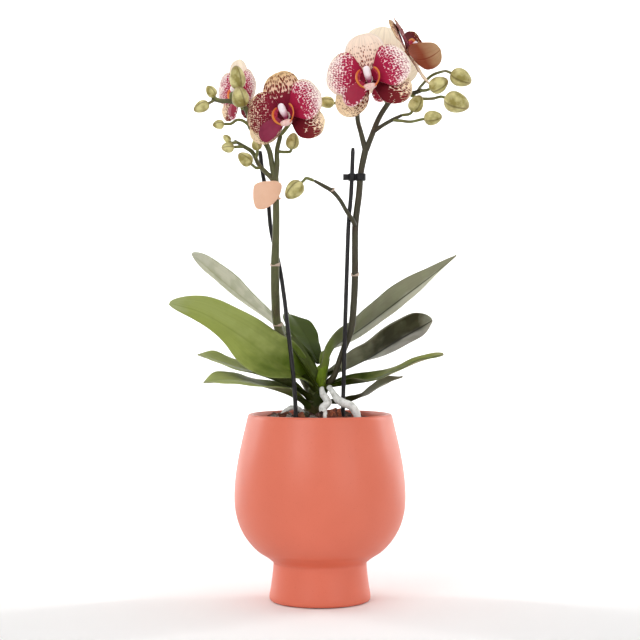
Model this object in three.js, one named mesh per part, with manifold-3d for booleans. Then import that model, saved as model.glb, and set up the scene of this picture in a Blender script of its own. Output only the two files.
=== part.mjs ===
// A potted moth orchid of the small kind: two flower spikes with five open flowers and their buds,
// nine leaves, silvery aerial roots, two support stakes and a footed ceramic pot with the plain
// growing pot and its bark inside. Millimetres, +Z up, the front of the plant faces -Y.
// The origin is the middle of the foot, on the surface that the pot stands on.

import * as THREE from 'three';
import { mergeVertices } from 'three/addons/utils/BufferGeometryUtils.js';
import Module from 'manifold-3d';

const wasm = await Module();
wasm.setup();

// Driving dimensions of the pots and the bark
const fitGap = 0.3; // between pieces that touch on the real plant
const potWall = 4.6;
const potSides = 32;
const rimHeight = 130.5;
const rimRadius = 50.5;
const footRadius = 35.4;
const growingPotFloor = 31.9;
const growingPotTop = 125.5;
const growingPotFloorRadius = 32.6;
const growingPotTopRadius = 44.4;
const growingPotWall = 0.9;
const drainHoleRadius = 3.2;
const barkEdgeHeight = 119;
const barkMound = 9;
const barkLowest = growingPotFloor + growingPotWall + fitGap;

// Driving dimensions of the plant
const eyeDistance = 1100;
const eyeHeight = 196;
const leafThickness = 1.4;
const tepalThickness = 0.8;
const flowerSpan = 60; // across the two petals
const stakeRadius = 1.5;
const stemSides = 8;
const stemSteps = 12;
const twigSides = 4;

const colours = {
  ceramic: 0xe27a60,
  growingPot: 0x2a2628,
  bark: 0x4a2a1e,
  stem: 0x5a6430,
  leaf: 0x6f8a3a,
  root: 0xcdcdc8,
  spike: 0x73784b,
  stake: 0x232023,
  tag: 0xf0c3aa,
  tepal: 0xc0486c,
  lip: 0xa52355,
  column: 0xebdce1,
};

const orchid = new THREE.Group();

function addPiece(name, solid, colour, roughness) {
  const found = solid.getMesh();
  const geometry = new THREE.BufferGeometry();
  geometry.setAttribute('position', new THREE.BufferAttribute(found.vertProperties, 3));
  geometry.setIndex(new THREE.BufferAttribute(found.triVerts, 1));
  geometry.computeVertexNormals();
  const material = new THREE.MeshStandardMaterial({ color: colour, roughness, metalness: 0 });
  const mesh = new THREE.Mesh(geometry, material);
  mesh.name = name;
  orchid.add(mesh);
}

// A closed geometry as a solid that can be joined and cut
function toSolid(geometry) {
  geometry.deleteAttribute('normal');
  geometry.deleteAttribute('uv');
  const merged = mergeVertices(geometry, 1e-4);
  const index = merged.index.array;
  const corners = [];
  for (let i = 0; i < index.length; i += 3) {
    const [a, b, c] = [index[i], index[i + 1], index[i + 2]];
    if (a !== b && b !== c && c !== a) corners.push(a, b, c);
  }
  return new wasm.Manifold(new wasm.Mesh({
    numProp: 3,
    vertProperties: new Float32Array(merged.attributes.position.array),
    triVerts: new Uint32Array(corners),
  }));
}

function join(solids) {
  return solids.reduce((whole, solid) => whole.add(solid));
}

function turned(outline, sides) {
  const points = outline.map(([radius, height]) => new THREE.Vector2(radius, height));
  const geometry = new THREE.LatheGeometry(points, sides);
  geometry.rotateX(Math.PI / 2);
  return toSolid(geometry);
}

// Points of the plant are given as they look from the front, from 1100 mm away and 196 mm up,
// and as their depth: x and z in the plane of the pot's axis, then the depth along +Y.
function seenAt([x, z, depth]) {
  const reach = (eyeDistance + depth) / eyeDistance;
  return new THREE.Vector3(x * reach, depth, eyeHeight + (z - eyeHeight) * reach);
}

function listValue(values, t) {
  const place = THREE.MathUtils.clamp(t, 0, 1) * (values.length - 1);
  const before = Math.min(Math.floor(place), values.length - 2);
  return THREE.MathUtils.lerp(values[before], values[before + 1], place - before);
}

// A round stalk through the points, with one radius for each point
function stalk(points, radii, sides, steps) {
  const curve = new THREE.CatmullRomCurve3(points);
  const across = [];
  let normal = new THREE.Vector3(0.3, 0.9, 0.1);
  for (let step = 0; step <= steps; step += 1) {
    const tangent = curve.getTangent(step / steps);
    normal = normal.clone().addScaledVector(tangent, -normal.dot(tangent)).normalize();
    across.push({ normal, side: normal.clone().cross(tangent) });
  }
  const geometry = new THREE.CylinderGeometry(1, 1, 1, sides, steps);
  const position = geometry.attributes.position;
  for (let i = 0; i < position.count; i += 1) {
    const t = position.getY(i) + 0.5;
    const { normal: n, side: s } = across[Math.round(t * steps)];
    const radius = listValue(radii, t);
    const point = curve.getPoint(t);
    point.addScaledVector(n, position.getX(i) * radius);
    point.addScaledVector(s, position.getZ(i) * radius);
    position.setXYZ(i, point.x, point.y, point.z);
  }
  return toSolid(geometry);
}

// A thin curved blade. surface(u, v) gives its middle surface, with u from -1 to 1 across it and
// v from 0 to 1 along it. Both faces have the same triangles, so a waved blade never crosses itself.
function blade(surface, thicknessAt, acrossSteps, alongSteps) {
  const grid = new THREE.PlaneGeometry(2, 1, acrossSteps, alongSteps);
  const flat = grid.attributes.position;
  const nudge = 1e-3;
  const upper = [];
  const lower = [];
  for (let i = 0; i < flat.count; i += 1) {
    const u = flat.getX(i);
    const v = flat.getY(i) + 0.5;
    const [left, right] = [Math.max(u - nudge, -1), Math.min(u + nudge, 1)];
    const [near, far] = [Math.max(v - nudge, 0), Math.min(v + nudge, 1)];
    const alongU = surface(right, v).sub(surface(left, v));
    const alongV = surface(u, far).sub(surface(u, near));
    const half = alongU.cross(alongV).setLength(thicknessAt(u, v) / 2);
    const middle = surface(u, v);
    upper.push(...middle.clone().add(half).toArray());
    lower.push(...middle.clone().sub(half).toArray());
  }
  const faces = Array.from(grid.index.array);
  const count = flat.count;
  const index = [...faces];
  for (let i = 0; i < faces.length; i += 3) {
    index.push(faces[i] + count, faces[i + 2] + count, faces[i + 1] + count);
  }
  const border = gridBorder(acrossSteps, alongSteps);
  border.forEach((a, i) => {
    const b = border[(i + 1) % border.length];
    index.push(a, a + count, b + count, a, b + count, b);
  });
  const geometry = new THREE.BufferGeometry();
  const position = new Float32Array([...upper, ...lower]);
  geometry.setAttribute('position', new THREE.BufferAttribute(position, 3));
  geometry.setIndex(index);
  return toSolid(geometry);
}

// The outer vertices of a plane's grid in order, anticlockwise seen from its front
function gridBorder(acrossSteps, alongSteps) {
  const row = acrossSteps + 1;
  const last = row * (alongSteps + 1) - 1;
  const border = [];
  for (let i = 0; i < alongSteps; i += 1) border.push(i * row);
  for (let i = 0; i < acrossSteps; i += 1) border.push(alongSteps * row + i);
  for (let i = 0; i < alongSteps; i += 1) border.push(last - i * row);
  for (let i = 0; i < acrossSteps; i += 1) border.push(acrossSteps - i);
  return border;
}

// Share of a blade's half width at v: from its narrow base to its widest place and its tip, which is
// blunt at a tip of 0.5 and pointed at 0.8
function bladeWidth(v, base, widest, tipShape, tip = 0.5) {
  if (v < widest) return base + (1 - base) * Math.sin((v / widest) * Math.PI / 2) ** 1.4;
  const beyond = ((v - widest) / (1 - widest)) * 0.985;
  return (1 - beyond ** tipShape) ** tip;
}

// The footed ceramic pot, one wall all over
function ceramicPot() {
  const bowl = new THREE.SplineCurve([
    [32.7, 27.2], [37.4, 30.9], [44.2, 35.4], [51.3, 43.4], [56.2, 52.2], [59.2, 63], [59.9, 73],
    [59.2, 86], [57.2, 99.5], [54.8, 111], [52.2, 122], [rimRadius + 0.4, rimHeight - 3],
  ].map(([radius, height]) => new THREE.Vector2(radius, height)));
  const bowlSteps = 9;
  const outside = bowl.getSpacedPoints(bowlSteps);
  const inside = outside.map((point, i) => {
    const tangent = bowl.getTangentAt(i / bowlSteps);
    return new THREE.Vector2(point.x - tangent.y * potWall, point.y + tangent.x * potWall);
  }).reverse();
  const foot = [[0, 0], [footRadius - 2.6, 0], [footRadius - 0.7, 0.8], [footRadius, 2.6],
    [34.3, 10], [32.6, 26.6]];
  const lip = [[rimRadius - 0.1, rimHeight - 0.9], [rimRadius - 1.1, rimHeight],
    [rimRadius - 3.4, rimHeight], [rimRadius - 4.4, rimHeight - 1]];
  const well = [[28.2, 27.5], [29.2, 10], [27.4, 6], [0, 5.4]];
  const innerWall = inside.slice(1, -1).map(({ x, y }) => [x, y]);
  return turned([...foot, ...outside.map(({ x, y }) => [x, y]), ...lip, ...innerWall, ...well], potSides);
}

// The thin plastic pot that the plant grows in, which stands inside the ceramic one
function growingPot() {
  const wall = growingPotWall;
  const sides = 24;
  const shell = turned([
    [0, growingPotFloor], [growingPotFloorRadius, growingPotFloor],
    [growingPotTopRadius - 0.7, growingPotTop - 5], [growingPotTopRadius + 0.5, growingPotTop - 4.6],
    [growingPotTopRadius + 0.6, growingPotTop], [growingPotTopRadius - wall, growingPotTop],
    [growingPotTopRadius - 0.7 - wall, growingPotTop - 5.6],
    [growingPotFloorRadius - wall, growingPotFloor + wall], [0, growingPotFloor + wall],
  ], sides);
  const holes = [];
  const holeCount = 5;
  for (let i = 0; i < holeCount; i += 1) {
    const turn = (i / holeCount) * 2 * Math.PI;
    const hole = new THREE.CylinderGeometry(drainHoleRadius, drainHoleRadius, 4 * wall, 8);
    hole.rotateX(Math.PI / 2);
    hole.translate(20 * Math.cos(turn), 20 * Math.sin(turn), growingPotFloor + wall / 2);
    holes.push(toSolid(hole));
  }
  return shell.subtract(join(holes));
}

// A repeatable draw of numbers between 0 and 1
function seededDraw(seed) {
  let state = seed;
  return () => {
    state = (state * 16807) % 2147483647;
    return state / 2147483647;
  };
}

// The bark: a mound whose chips lie on it at all angles
const barkDraw = seededDraw(71);
const loosePieces = [
  [-25, -19, 129, 13, 8, 6], [-31, -9, 127, 11, 8, 6], [9.5, -20, 130, 9, 7, 8], [-13, -25, 127, 12, 7, 5],
  [16, 22, 127, 12, 8, 6], [-10, 24, 128, 13, 9, 6], [-27, 14, 125, 12, 9, 6], [30, 6, 125, 12, 8, 6],
  [27, -14, 124, 10, 8, 5], [2, -31, 124, 12, 8, 5], [-3, 33, 122, 12, 7, 5],
];

function barkSurface(x, y) {
  const reach = Math.hypot(x, y) / growingPotTopRadius;
  const lumps = Math.sin(x * 0.42 + 1) * Math.cos(y * 0.37) + 0.6 * Math.sin(x * 0.21 - y * 0.5);
  return barkEdgeHeight + barkMound * Math.cos(Math.min(reach, 1) * Math.PI / 2) + 1.1 * lumps;
}

function barkBody() {
  const floorRadius = growingPotFloorRadius - growingPotWall - fitGap - 0.5;
  const topRadius = growingPotTopRadius - growingPotWall - fitGap - 1.6;
  const rings = 5;
  const outline = [[0, barkLowest], [floorRadius, barkLowest]];
  for (let i = 0; i <= rings; i += 1) outline.push([topRadius * (1 - i / rings), barkEdgeHeight]);
  const points = outline.map(([radius, height]) => new THREE.Vector2(radius, height));
  const geometry = new THREE.LatheGeometry(points, 24);
  geometry.rotateX(Math.PI / 2);
  const position = geometry.attributes.position;
  for (let i = 0; i < position.count; i += 1) {
    if (position.getZ(i) > barkLowest + 1) {
      position.setZ(i, barkSurface(position.getX(i), position.getY(i)));
    }
  }
  return toSolid(geometry);
}

function barkChip([x, y, z, length, width, height]) {
  const chip = new THREE.BoxGeometry(length, width, height);
  const position = chip.attributes.position;
  for (let i = 0; i < position.count; i += 1) {
    if (position.getZ(i) > 0) position.setXY(i, position.getX(i) * 0.7, position.getY(i) * 0.75);
  }
  chip.rotateX((barkDraw() - 0.5) * 0.9);
  chip.rotateY((barkDraw() - 0.5) * 0.9);
  chip.rotateZ(barkDraw() * Math.PI);
  chip.translate(x, y, z);
  return toSolid(chip);
}

// Round stems, roots and stakes: points as seen from the front, and a radius for each point
const stakes = {
  stake_left: [[-16.2, 82, -29.6], [-16.9, 129, -29.6], [-18.2, 152, -29.4], [-19.8, 167, -26.2],
    [-21.2, 179, -21.2], [-23, 194, -14], [-24.9, 211, -7.2], [-28.3, 233, 1], [-34.3, 259, 1.5],
    [-36.4, 280, 3.5], [-39.9, 297.5, 5], [-42, 314.3, 6]],
  stake_right: [[16, 82, -14.5], [16.1, 134.5, -13.2], [16.4, 147, -13], [17.5, 189, -13.2],
    [18.9, 234, -12], [20.1, 265.5, -10], [21.7, 284, -9], [23.1, 316.5, -8.5]],
};

const crown = {
  points: [[-7, 104, 1], [-6, 128, 0], [-3.5, 143, 0], [-0.8, 156, 0], [0.6, 164.5, 1]],
  radii: [4.5, 6.2, 5.8, 4.4, 2],
};

const roots = {
  root_front: {
    points: [[1, 148.5, -6.8], [2.1, 144.2, -9.5], [5.4, 138.4, -13], [1.8, 134, -17.5],
      [3.8, 129, -21], [5.6, 119, -23]],
    radii: [1.9, 2.1, 2.9, 2.6, 2.6, 1.4],
  },
  root_right: {
    points: [[6.3, 149.5, -5.4], [10.5, 143, -12.5], [15.4, 138.2, -20], [21.7, 135.8, -22],
      [25.2, 131.6, -24], [27.2, 118, -25]],
    radii: [1.9, 2.3, 2.8, 3, 2.9, 1.4],
  },
  root_left: {
    points: [[-11.4, 131, -5], [-16, 134, -9], [-21, 134.4, -12], [-26, 130, -14], [-28, 119, -15]],
    radii: [1.4, 1.7, 1.7, 1.6, 1],
  },
};

function rod(points, radii, sides, steps) {
  return stalk(points.map(seenAt), radii, sides, steps);
}

function grown(radii) {
  return radii.map((radius) => radius + fitGap);
}

function evenRadii(points, radius) {
  return points.map(() => radius);
}

// Leaves: the middle line from the crown to the tip, the half width, the roll about the middle
// line in degrees at the base and the tip, and the fold along the midrib at the base and the blade.
// A leaf that is uneven has shares of its half width on its left or right side, from base to tip,
// seen from above with the tip ahead.
const leaves = {
  leaf_left_upper: {
    line: [[-3.6, 156.5, 6.4], [-13, 170, 18], [-22, 182.5, 26], [-34, 195.5, 32], [-55, 213, 38],
      [-74, 229, 40], [-89.6, 242.5, 41]],
    half: 18, roll: [-14, -34], fold: [45, 9], base: 0.26, widest: 0.62, tip: 0.7,
  },
  leaf_left_broad: {
    line: [[-6.2, 150.6, -6.1], [-17, 158.4, -10.5], [-32, 166.5, -12], [-47.6, 178.6, -12],
      [-64.4, 190, -12], [-84, 201, -13], [-105.6, 207.5, -14]],
    half: 22.5, roll: [46, 44], fold: [40, 7], base: 0.24, widest: 0.36,
    left: [1, 1, 1, 1.06, 1, 0.72, 0.62, 0.66, 0.8],
  },
  leaf_back: {
    line: [[-1.6, 165.4, 5.6], [-4.4, 172.5, 10.6], [-7.6, 180, 19.4], [-12, 187.5, 29.4],
      [-16.5, 194.3, 41], [-21, 199.8, 53]],
    half: 14.5, roll: [-6, -12], fold: [34, 10], base: 0.3, widest: 0.5,
    left: [1, 0.94, 0.93, 0.93, 1, 1], right: [1, 0.62, 0.6, 0.8, 0.9, 1],
  },
  leaf_left_lower: {
    line: [[-10.2, 143, -2], [-21, 149.6, -4], [-40.6, 157.3, -8], [-61.6, 163.4, -12],
      [-75.6, 168.6, -14], [-85.6, 171.5, -15]],
    half: 17, roll: [6, 13], fold: [36, 10], base: 0.26, widest: 0.55, tip: 0.65,
  },
  leaf_left_lowest: {
    line: [[-10.8, 137.5, -3.6], [-22.4, 144, -9], [-38.5, 149.3, -17], [-56, 153.2, -26], [-70, 153.6, -32],
      [-81.4, 152, -36]],
    half: 17, roll: [8, 15], fold: [36, 8], base: 0.26, widest: 0.5, tip: 0.75,
  },
  leaf_right_upper: {
    line: [[3.6, 152.5, -8.2], [4.6, 163, -7.8], [7, 172, -4.6], [12, 179.2, 2], [21.8, 185.6, 11.5],
      [32.8, 193.2, 19], [45.8, 203, 25], [59.8, 213.6, 28], [75.8, 225.6, 30], [95.5, 241.2, 32]],
    half: 16.5, roll: [48, 36], fold: [44, 13], base: 0.25, widest: 0.55, tip: 0.72,
    left: [1, 1, 1.05, 1.25, 1.2, 1.05, 1, 1, 1],
  },
  leaf_right_middle: {
    line: [[4.1, 156.6, 3.3], [19.4, 162.2, 7], [33.6, 169.4, 10], [54, 182, 13], [69, 190.5, 15],
      [78.6, 196, 16]],
    half: 21, roll: [12, 46], fold: [46, 13], base: 0.23, widest: 0.5,
    right: [1, 1, 1, 0.95, 0.85, 0.85],
  },
  leaf_right_lower: {
    line: [[3.6, 148.8, 0.3], [21, 151.4, 1], [38.5, 154.4, -2], [56, 161.6, -5], [70, 167.6, -7],
      [86.4, 171.8, -9]],
    half: 16, roll: [-4, -13], fold: [38, 8], base: 0.26, widest: 0.45, tip: 0.8,
  },
  leaf_right_lowest: {
    line: [[2, 138.4, 3.7], [15.5, 138, 7], [25.9, 141.4, 10], [35, 146.4, 13], [45.5, 152.3, 15],
      [57.8, 156.2, 16]],
    half: 9.5, roll: [16, 24], fold: [36, 8], base: 0.28, widest: 0.55, tip: 0.75,
  },
};

function leaf({ line, half, roll, fold, base, widest, tip, left = [1, 1], right = [1, 1] }) {
  const curve = new THREE.CatmullRomCurve3(line.map(seenAt));
  const up = new THREE.Vector3(0, 0, 1);
  const surface = (u, t) => {
    const v = 1 - (1 - t) ** 1.35;
    const along = curve.getTangent(v);
    const level = along.clone().cross(up).normalize();
    const above = level.clone().cross(along);
    const turn = THREE.MathUtils.degToRad(THREE.MathUtils.lerp(roll[0], roll[1], v));
    const side = level.clone().multiplyScalar(Math.cos(turn)).addScaledVector(above, Math.sin(turn));
    const face = side.clone().cross(along);
    const opening = THREE.MathUtils.smoothstep(v, 0.05, 0.5);
    const bend = THREE.MathUtils.degToRad(THREE.MathUtils.lerp(fold[0], fold[1], opening));
    const reach = half * bladeWidth(v, base, widest, 2, tip) * listValue(u < 0 ? left : right, v);
    const wave = 0.9 * Math.sin(v * 9 + u) * u * u * opening;
    return curve.getPoint(v)
      .addScaledVector(side, u * reach * Math.cos(bend))
      .addScaledVector(face, Math.abs(u) * reach * Math.sin(bend) + wave);
  };
  const thickness = (u) => leafThickness - 0.6 * u * u;
  return blade(surface, thickness, 4, 11);
}

// Flower spikes: the stem, its collars, the branches, and the buds, each with the stalk that leads to it
const spikes = {
  spike_left: {
    stem: [[-7.7, 147, 4.8], [-12, 155, 9], [-19, 169, 9.5], [-29.4, 191, 5.5], [-31.2, 212, -1],
      [-31.5, 234, -5.5], [-30.8, 259, -7.5], [-30.8, 280, -8.5], [-31.5, 296.5, -9]],
    stemRadii: [1.9, 2.6, 3, 3.1, 3.1, 3, 2.5, 2.4, 2.6],
    collars: [{ at: [-29.6, 192, 5.2], radius: 3.1 }, { at: [-31.5, 234, -5.5], radius: 3 }],
    branches: [
      { points: [[-31.5, 294, -9], [-33.6, 304.5, -9], [-35.7, 315, -9], [-40.6, 323.4, -9],
        [-48.3, 330.8, -11], [-50, 340, -14], [-54, 346, -16], [-62.3, 349, -17], [-69, 349.3, -17],
        [-76, 350.6, -17]], radii: [2.3, 2, 1.9, 2.1, 2.2, 1.9, 1.8, 1.7, 1.6, 1.2] },
      { points: [[-31.5, 294, -9], [-30.1, 304.5, -9.5], [-30, 315, -10], [-27.6, 325.5, -12]],
        radii: [2.3, 1.9, 1.7, 1.6] },
      { points: [[-31.5, 293, -9], [-37, 298.5, -9.5], [-42.7, 304.5, -10], [-47.4, 313.5, -12],
        [-53.1, 317.4, -13], [-60.2, 321.6, -14]], radii: [2, 1.7, 1.5, 1.5, 1.4, 1] },
    ],
    buds: [
      { stalk: [[-74, 350, -17]], at: [-83, 345.2, -17], towards: [-0.9, -0.45, 0], size: [11.5, 8.6] },
      { stalk: [[-48.3, 331, -11], [-54, 335.5, -13], [-58.1, 336, -14], [-62.3, 333.4, -16]],
        at: [-71, 332.8, -17.5], towards: [-1, -0.1, -0.2], size: [8, 7] },
      { stalk: [[-69, 349.3, -17]], at: [-76.3, 356, -18], towards: [-0.55, 0.8, 0], size: [9, 7.6] },
      { stalk: [[-54, 346, -16]], at: [-56, 352.2, -25], towards: [-0.1, 0.75, -0.6], size: [15, 12.4] },
      { stalk: [[-62.3, 349, -17], [-62, 354.5, -18]], at: [-58, 365.6, -24.5], towards: [-0.1, 0.95, -0.3],
        size: [16, 11.6] },
      { stalk: [[-58, 320.4, -13.6]], at: [-65.2, 323, -15], towards: [-0.7, 0.7, 0], size: [6.4, 5.2] },
      { stalk: [[-53.1, 317.4, -13]], at: [-64.6, 316.8, -18], towards: [-0.9, -0.1, -0.4], size: [9, 7.8] },
      { stalk: [[-41.5, 303, -10], [-44.5, 302.4, -13]], at: [-52.4, 308.6, -17],
        towards: [-0.75, 0.6, -0.2], size: [11.4, 9.6] },
      { stalk: [[-45, 309, -11]], at: [-44.4, 319, -16.5], towards: [-0.1, 1, -0.3], size: [8.6, 7.4] },
      { stalk: [[-30, 314, -10], [-24.5, 313.6, -11.5]], at: [-19.2, 321.2, -12.5], towards: [0.2, 1, 0],
        size: [11.5, 9.8] },
    ],
  },
  spike_right: {
    stem: [[9.6, 156.4, -6.2], [13, 166, -8], [17.6, 178, -8.5], [21.8, 190, -8.5], [23.8, 210, -8],
      [24.5, 227, -8], [24.5, 246.5, -8.5], [24.8, 263, -9], [27.3, 284, -9], [28.7, 299.6, -9],
      [32, 316, -9]],
    stemRadii: [1.5, 1.9, 2.3, 2.4, 2.4, 2.4, 2.3, 2.3, 2.3, 2.2, 2.4],
    collars: [{ at: [24.5, 227, -8], radius: 2.4 }, { at: [8.4, 286.3, -16], radius: 1.4 }],
    branches: [
      { points: [[24.8, 261, -9], [23, 265.5, -13.4], [18.9, 271.6, -15], [14, 280, -15.5],
        [8.4, 286.3, -16], [2.1, 290.1, -17], [-4.2, 293.6, -18]],
      radii: [1.7, 1.6, 1.4, 1.4, 1.5, 1.4, 1] },
      { points: [[32, 314, -9], [28.7, 326.9, -9], [26.4, 336, -9], [26.6, 347, -10]],
        radii: [2.1, 1.8, 1.7, 1.6] },
      { points: [[32, 314, -9], [36.4, 325.5, -8], [40.6, 336, -8], [45.5, 344.4, -8], [51, 351, -8],
        [60, 353.6, -9], [66, 355, -10], [72, 357, -11]],
      radii: [2.1, 2, 1.9, 1.9, 1.9, 1.8, 1.6, 1.3] },
      { points: [[37, 327.5, -8], [44, 332.3, -10], [50.5, 336, -12], [57.5, 339.5, -13]],
        radii: [1.6, 1.4, 1.4, 1.1] },
    ],
    buds: [
      { stalk: [[-4.2, 293.6, -18], [-9.8, 295.2, -18]], at: [-18, 287, -18], towards: [-0.7, -0.7, 0],
        size: [15, 12.4] },
      { stalk: [[26.4, 348.5, -10.5], [18, 347.5, -10]], at: [4.4, 348.4, -10], towards: [-1, 0.1, 0],
        size: [11.4, 8.6] },
      { stalk: [[57, 339.3, -13]], at: [67.3, 347.4, -14.5], towards: [0.5, 0.85, -0.1], size: [12.5, 11] },
      { stalk: [[50.5, 336, -12], [57, 335.4, -14], [63.5, 334.8, -15]], at: [79, 337.6, -16.5],
        towards: [1, 0.15, 0], size: [12.6, 10.6] },
      { stalk: [[70, 356.4, -12]], at: [83, 360.8, -14.5], towards: [0.8, 0.35, -0.3], size: [14, 12] },
      { stalk: [[62, 354, -9.3], [70, 351.2, -13], [79, 351, -14]], at: [95.6, 348.4, -14.5],
        towards: [0.9, -0.35, -0.1], size: [18, 15.4] },
      { stalk: [[68, 355.4, -10], [71, 360, 2], [78, 367, 6], [86, 370, -2]], at: [98.6, 365.6, -13.5],
        towards: [0.85, -0.4, 0], size: [15.5, 13] },
    ],
  },
};

function viewDirection([x, z, depth]) {
  return new THREE.Vector3(x, depth, z).normalize();
}

// A bud on its stalk: a pointed egg with its tip away from the stalk
function bud({ stalk: route, at, towards, size: [length, width] }) {
  const outline = [[0, -0.5], [0.32, -0.42], [0.49, -0.12], [0.43, 0.2], [0.2, 0.42], [0, 0.5]];
  const points = outline.map(([radius, height]) => new THREE.Vector2(radius * width, height * length));
  const geometry = new THREE.LatheGeometry(points, 6);
  const axis = viewDirection(towards);
  geometry.applyQuaternion(new THREE.Quaternion().setFromUnitVectors(new THREE.Vector3(0, 1, 0), axis));
  const centre = seenAt(at);
  geometry.translate(centre.x, centre.y, centre.z);
  const end = [-0.62, -0.3].map((share) => centre.clone().addScaledVector(axis, share * length));
  return toSolid(geometry).add(twig([...route.map(seenAt), ...end], 1.15, 0.95));
}

function twig(points, startRadius, endRadius) {
  const radii = points.map((point, i) => (
    THREE.MathUtils.lerp(startRadius, endRadius, i / (points.length - 1))
  ));
  return stalk(points, radii, twigSides, Math.max(3, points.length - 1));
}

function collar({ at: [x, z, depth], radius }) {
  const places = [[x, z - 1.3, depth], [x, z, depth], [x, z + 1.3, depth]];
  return rod(places, [radius, radius + 0.6, radius], stemSides, 2);
}

function spike({ stem, stemRadii, collars, branches, buds }, flowerStalks) {
  return join([
    rod(stem, stemRadii, stemSides, stemSteps),
    ...collars.map(collar),
    ...branches.map(({ points, radii }) => rod(points, radii, 6, points.length)),
    ...buds.map(bud),
    ...flowerStalks,
  ]);
}

// Flowers: the spike that carries each one and its stalk, where its middle is, the way it faces
// (yaw from the front towards +X, pitch upwards), its roll, its size against the full one, the way
// in which its lip hangs, the angles of its sepals where they differ, and in degrees how far each tepal
// closes: the upper sepal, the two lower sepals, then the two petals, right before left.
const flowers = {
  flower_right: {
    spike: 'spike_right', stalk: [[26.6, 347, -10], [27.5, 354, -13]], at: [34.6, 364.7, -29],
    yaw: -10, pitch: 5, roll: 10, size: 1, lip: -126, lipRise: 0, sepals: [-30, -140],
    close: [2, 2, 2, 2, 2],
  },
  flower_right_rear: {
    spike: 'spike_right', stalk: [[47, 346.5, -8], [44.5, 356, 4]], at: [41.3, 371.4, 27],
    yaw: 172, pitch: 4, roll: 8, size: 0.95, lip: -90, lipRise: 0, sepals: [-42, -138],
    close: [6, 6, 6, 6, 6],
  },
  flower_right_top: {
    spike: 'spike_right', stalk: [[56, 353, -8.5], [50.5, 362, -10], [51, 374, -12]],
    at: [61.4, 383.4, -11.6], yaw: 76, pitch: 25, roll: 66, size: 0.88, lip: -24, lipRise: 26,
    upper: 74, sepals: [-42, -138], close: [3, 26, 12, 4, 60],
  },
  flower_left: {
    spike: 'spike_left', stalk: [[-27.6, 325.5, -12], [-22.5, 332, -15]], at: [-22.8, 339.1, -30],
    yaw: -22, pitch: 5, roll: 14, size: 0.97, lip: -130, lipRise: 0, sepals: [-34, -165],
    close: [6, 8, 10, 10, 6],
  },
  flower_left_rear: {
    spike: 'spike_left', stalk: [[-40.6, 323.4, -9], [-41, 329, 0], [-43.5, 339, 10], [-47.5, 349, 14]],
    at: [-56, 354, 6], yaw: -50, pitch: 0, roll: 0, size: 0.76, lip: -90, lipRise: 0,
    sepals: [-42, -138], close: [8, 8, 8, 8, 8],
  },
};

const halfSpan = flowerSpan / 2;
const sepalLayer = -0.7;
const petalLayer = 0.9;
const hubFront = 1.9;
const hubBack = -2.5;
const upperSepal = { length: 1.08, width: 0.94, layer: sepalLayer, base: 0.17, widest: 0.54 };
const lowerSepal = { length: 1.02, width: 0.76, layer: sepalLayer, base: 0.2, widest: 0.53 };
const petal = { length: 1, width: 1.14, layer: petalLayer, base: 0.15, widest: 0.54, lipSide: 0.76 };
const tepalStart = 1.7; // from the middle of the flower, inside its hub
const petalAngle = 14;

function turnedBy(degrees) {
  const angle = THREE.MathUtils.degToRad(degrees);
  return { along: new THREE.Vector3(Math.cos(angle), Math.sin(angle), 0),
    side: new THREE.Vector3(-Math.sin(angle), Math.cos(angle), 0) };
}

// A petal is narrower on the side of the lip, by its share lipSide.
function tepal({ length, width, layer, base, widest, lipSide = 1 }, angle, close) {
  const { along, side } = turnedBy(angle);
  const tilt = THREE.MathUtils.degToRad(close);
  const surface = (u, t) => {
    const v = Math.sin(t * Math.PI / 2);
    const reach = THREE.MathUtils.lerp(tepalStart, length * halfSpan, v);
    const share = (u < 0) === (angle < 90) ? lipSide : 1;
    const half = 0.5 * width * halfSpan * bladeWidth(v, base, widest, 2.2) * share;
    const lift = tilt * v ** 1.4;
    const arch = 1.2 * Math.sin(v * Math.PI) - 2 * v * v;
    const wave = 0.7 * Math.sin(v * 7 + angle) * u * u * v;
    const trough = 0.05 * half * u * u;
    return new THREE.Vector3()
      .addScaledVector(along, reach * Math.cos(lift))
      .addScaledVector(side, u * half)
      .setZ(layer + reach * Math.sin(lift) + arch + wave + trough);
  };
  return blade(surface, () => tepalThickness, 4, 4);
}

function tepalWhorl({ upper = 90, sepals, close }) {
  const hub = new THREE.CylinderGeometry(3, 1.9, hubFront - hubBack, 7);
  hub.rotateX(Math.PI / 2);
  hub.translate(0, 0, (hubFront + hubBack) / 2);
  return join([
    toSolid(hub),
    tepal(upperSepal, upper, close[0]),
    tepal(lowerSepal, sepals[0], close[1]),
    tepal(lowerSepal, sepals[1], close[2]),
    tepal(petal, petalAngle, close[3]),
    tepal(petal, 180 - petalAngle, close[4]),
  ]);
}

// The lip: two side lobes that stand round the column as a cup, a fleshy crest and a broad tongue
const lobeRadius = 6.3;
const lobeStart = 128;
const lobeEnd = 248;
const tongueStart = 5;
const tongueLength = 19;
const tongueHalfWidth = 7;

function sideLobe(mirror) {
  const surface = (u, v) => {
    const share = (u + 1) / 2;
    const angle = THREE.MathUtils.degToRad(THREE.MathUtils.lerp(lobeStart, lobeEnd, share));
    const radius = lobeRadius + 1.9 * v;
    const height = 5.2 * (1 - 0.5 * (2 * Math.abs(share - 0.55)) ** 2.5);
    return new THREE.Vector3(mirror * radius * Math.cos(angle), radius * Math.sin(angle), 3.6 + height * v);
  };
  return blade(surface, () => 0.7, 4, 2);
}

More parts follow.
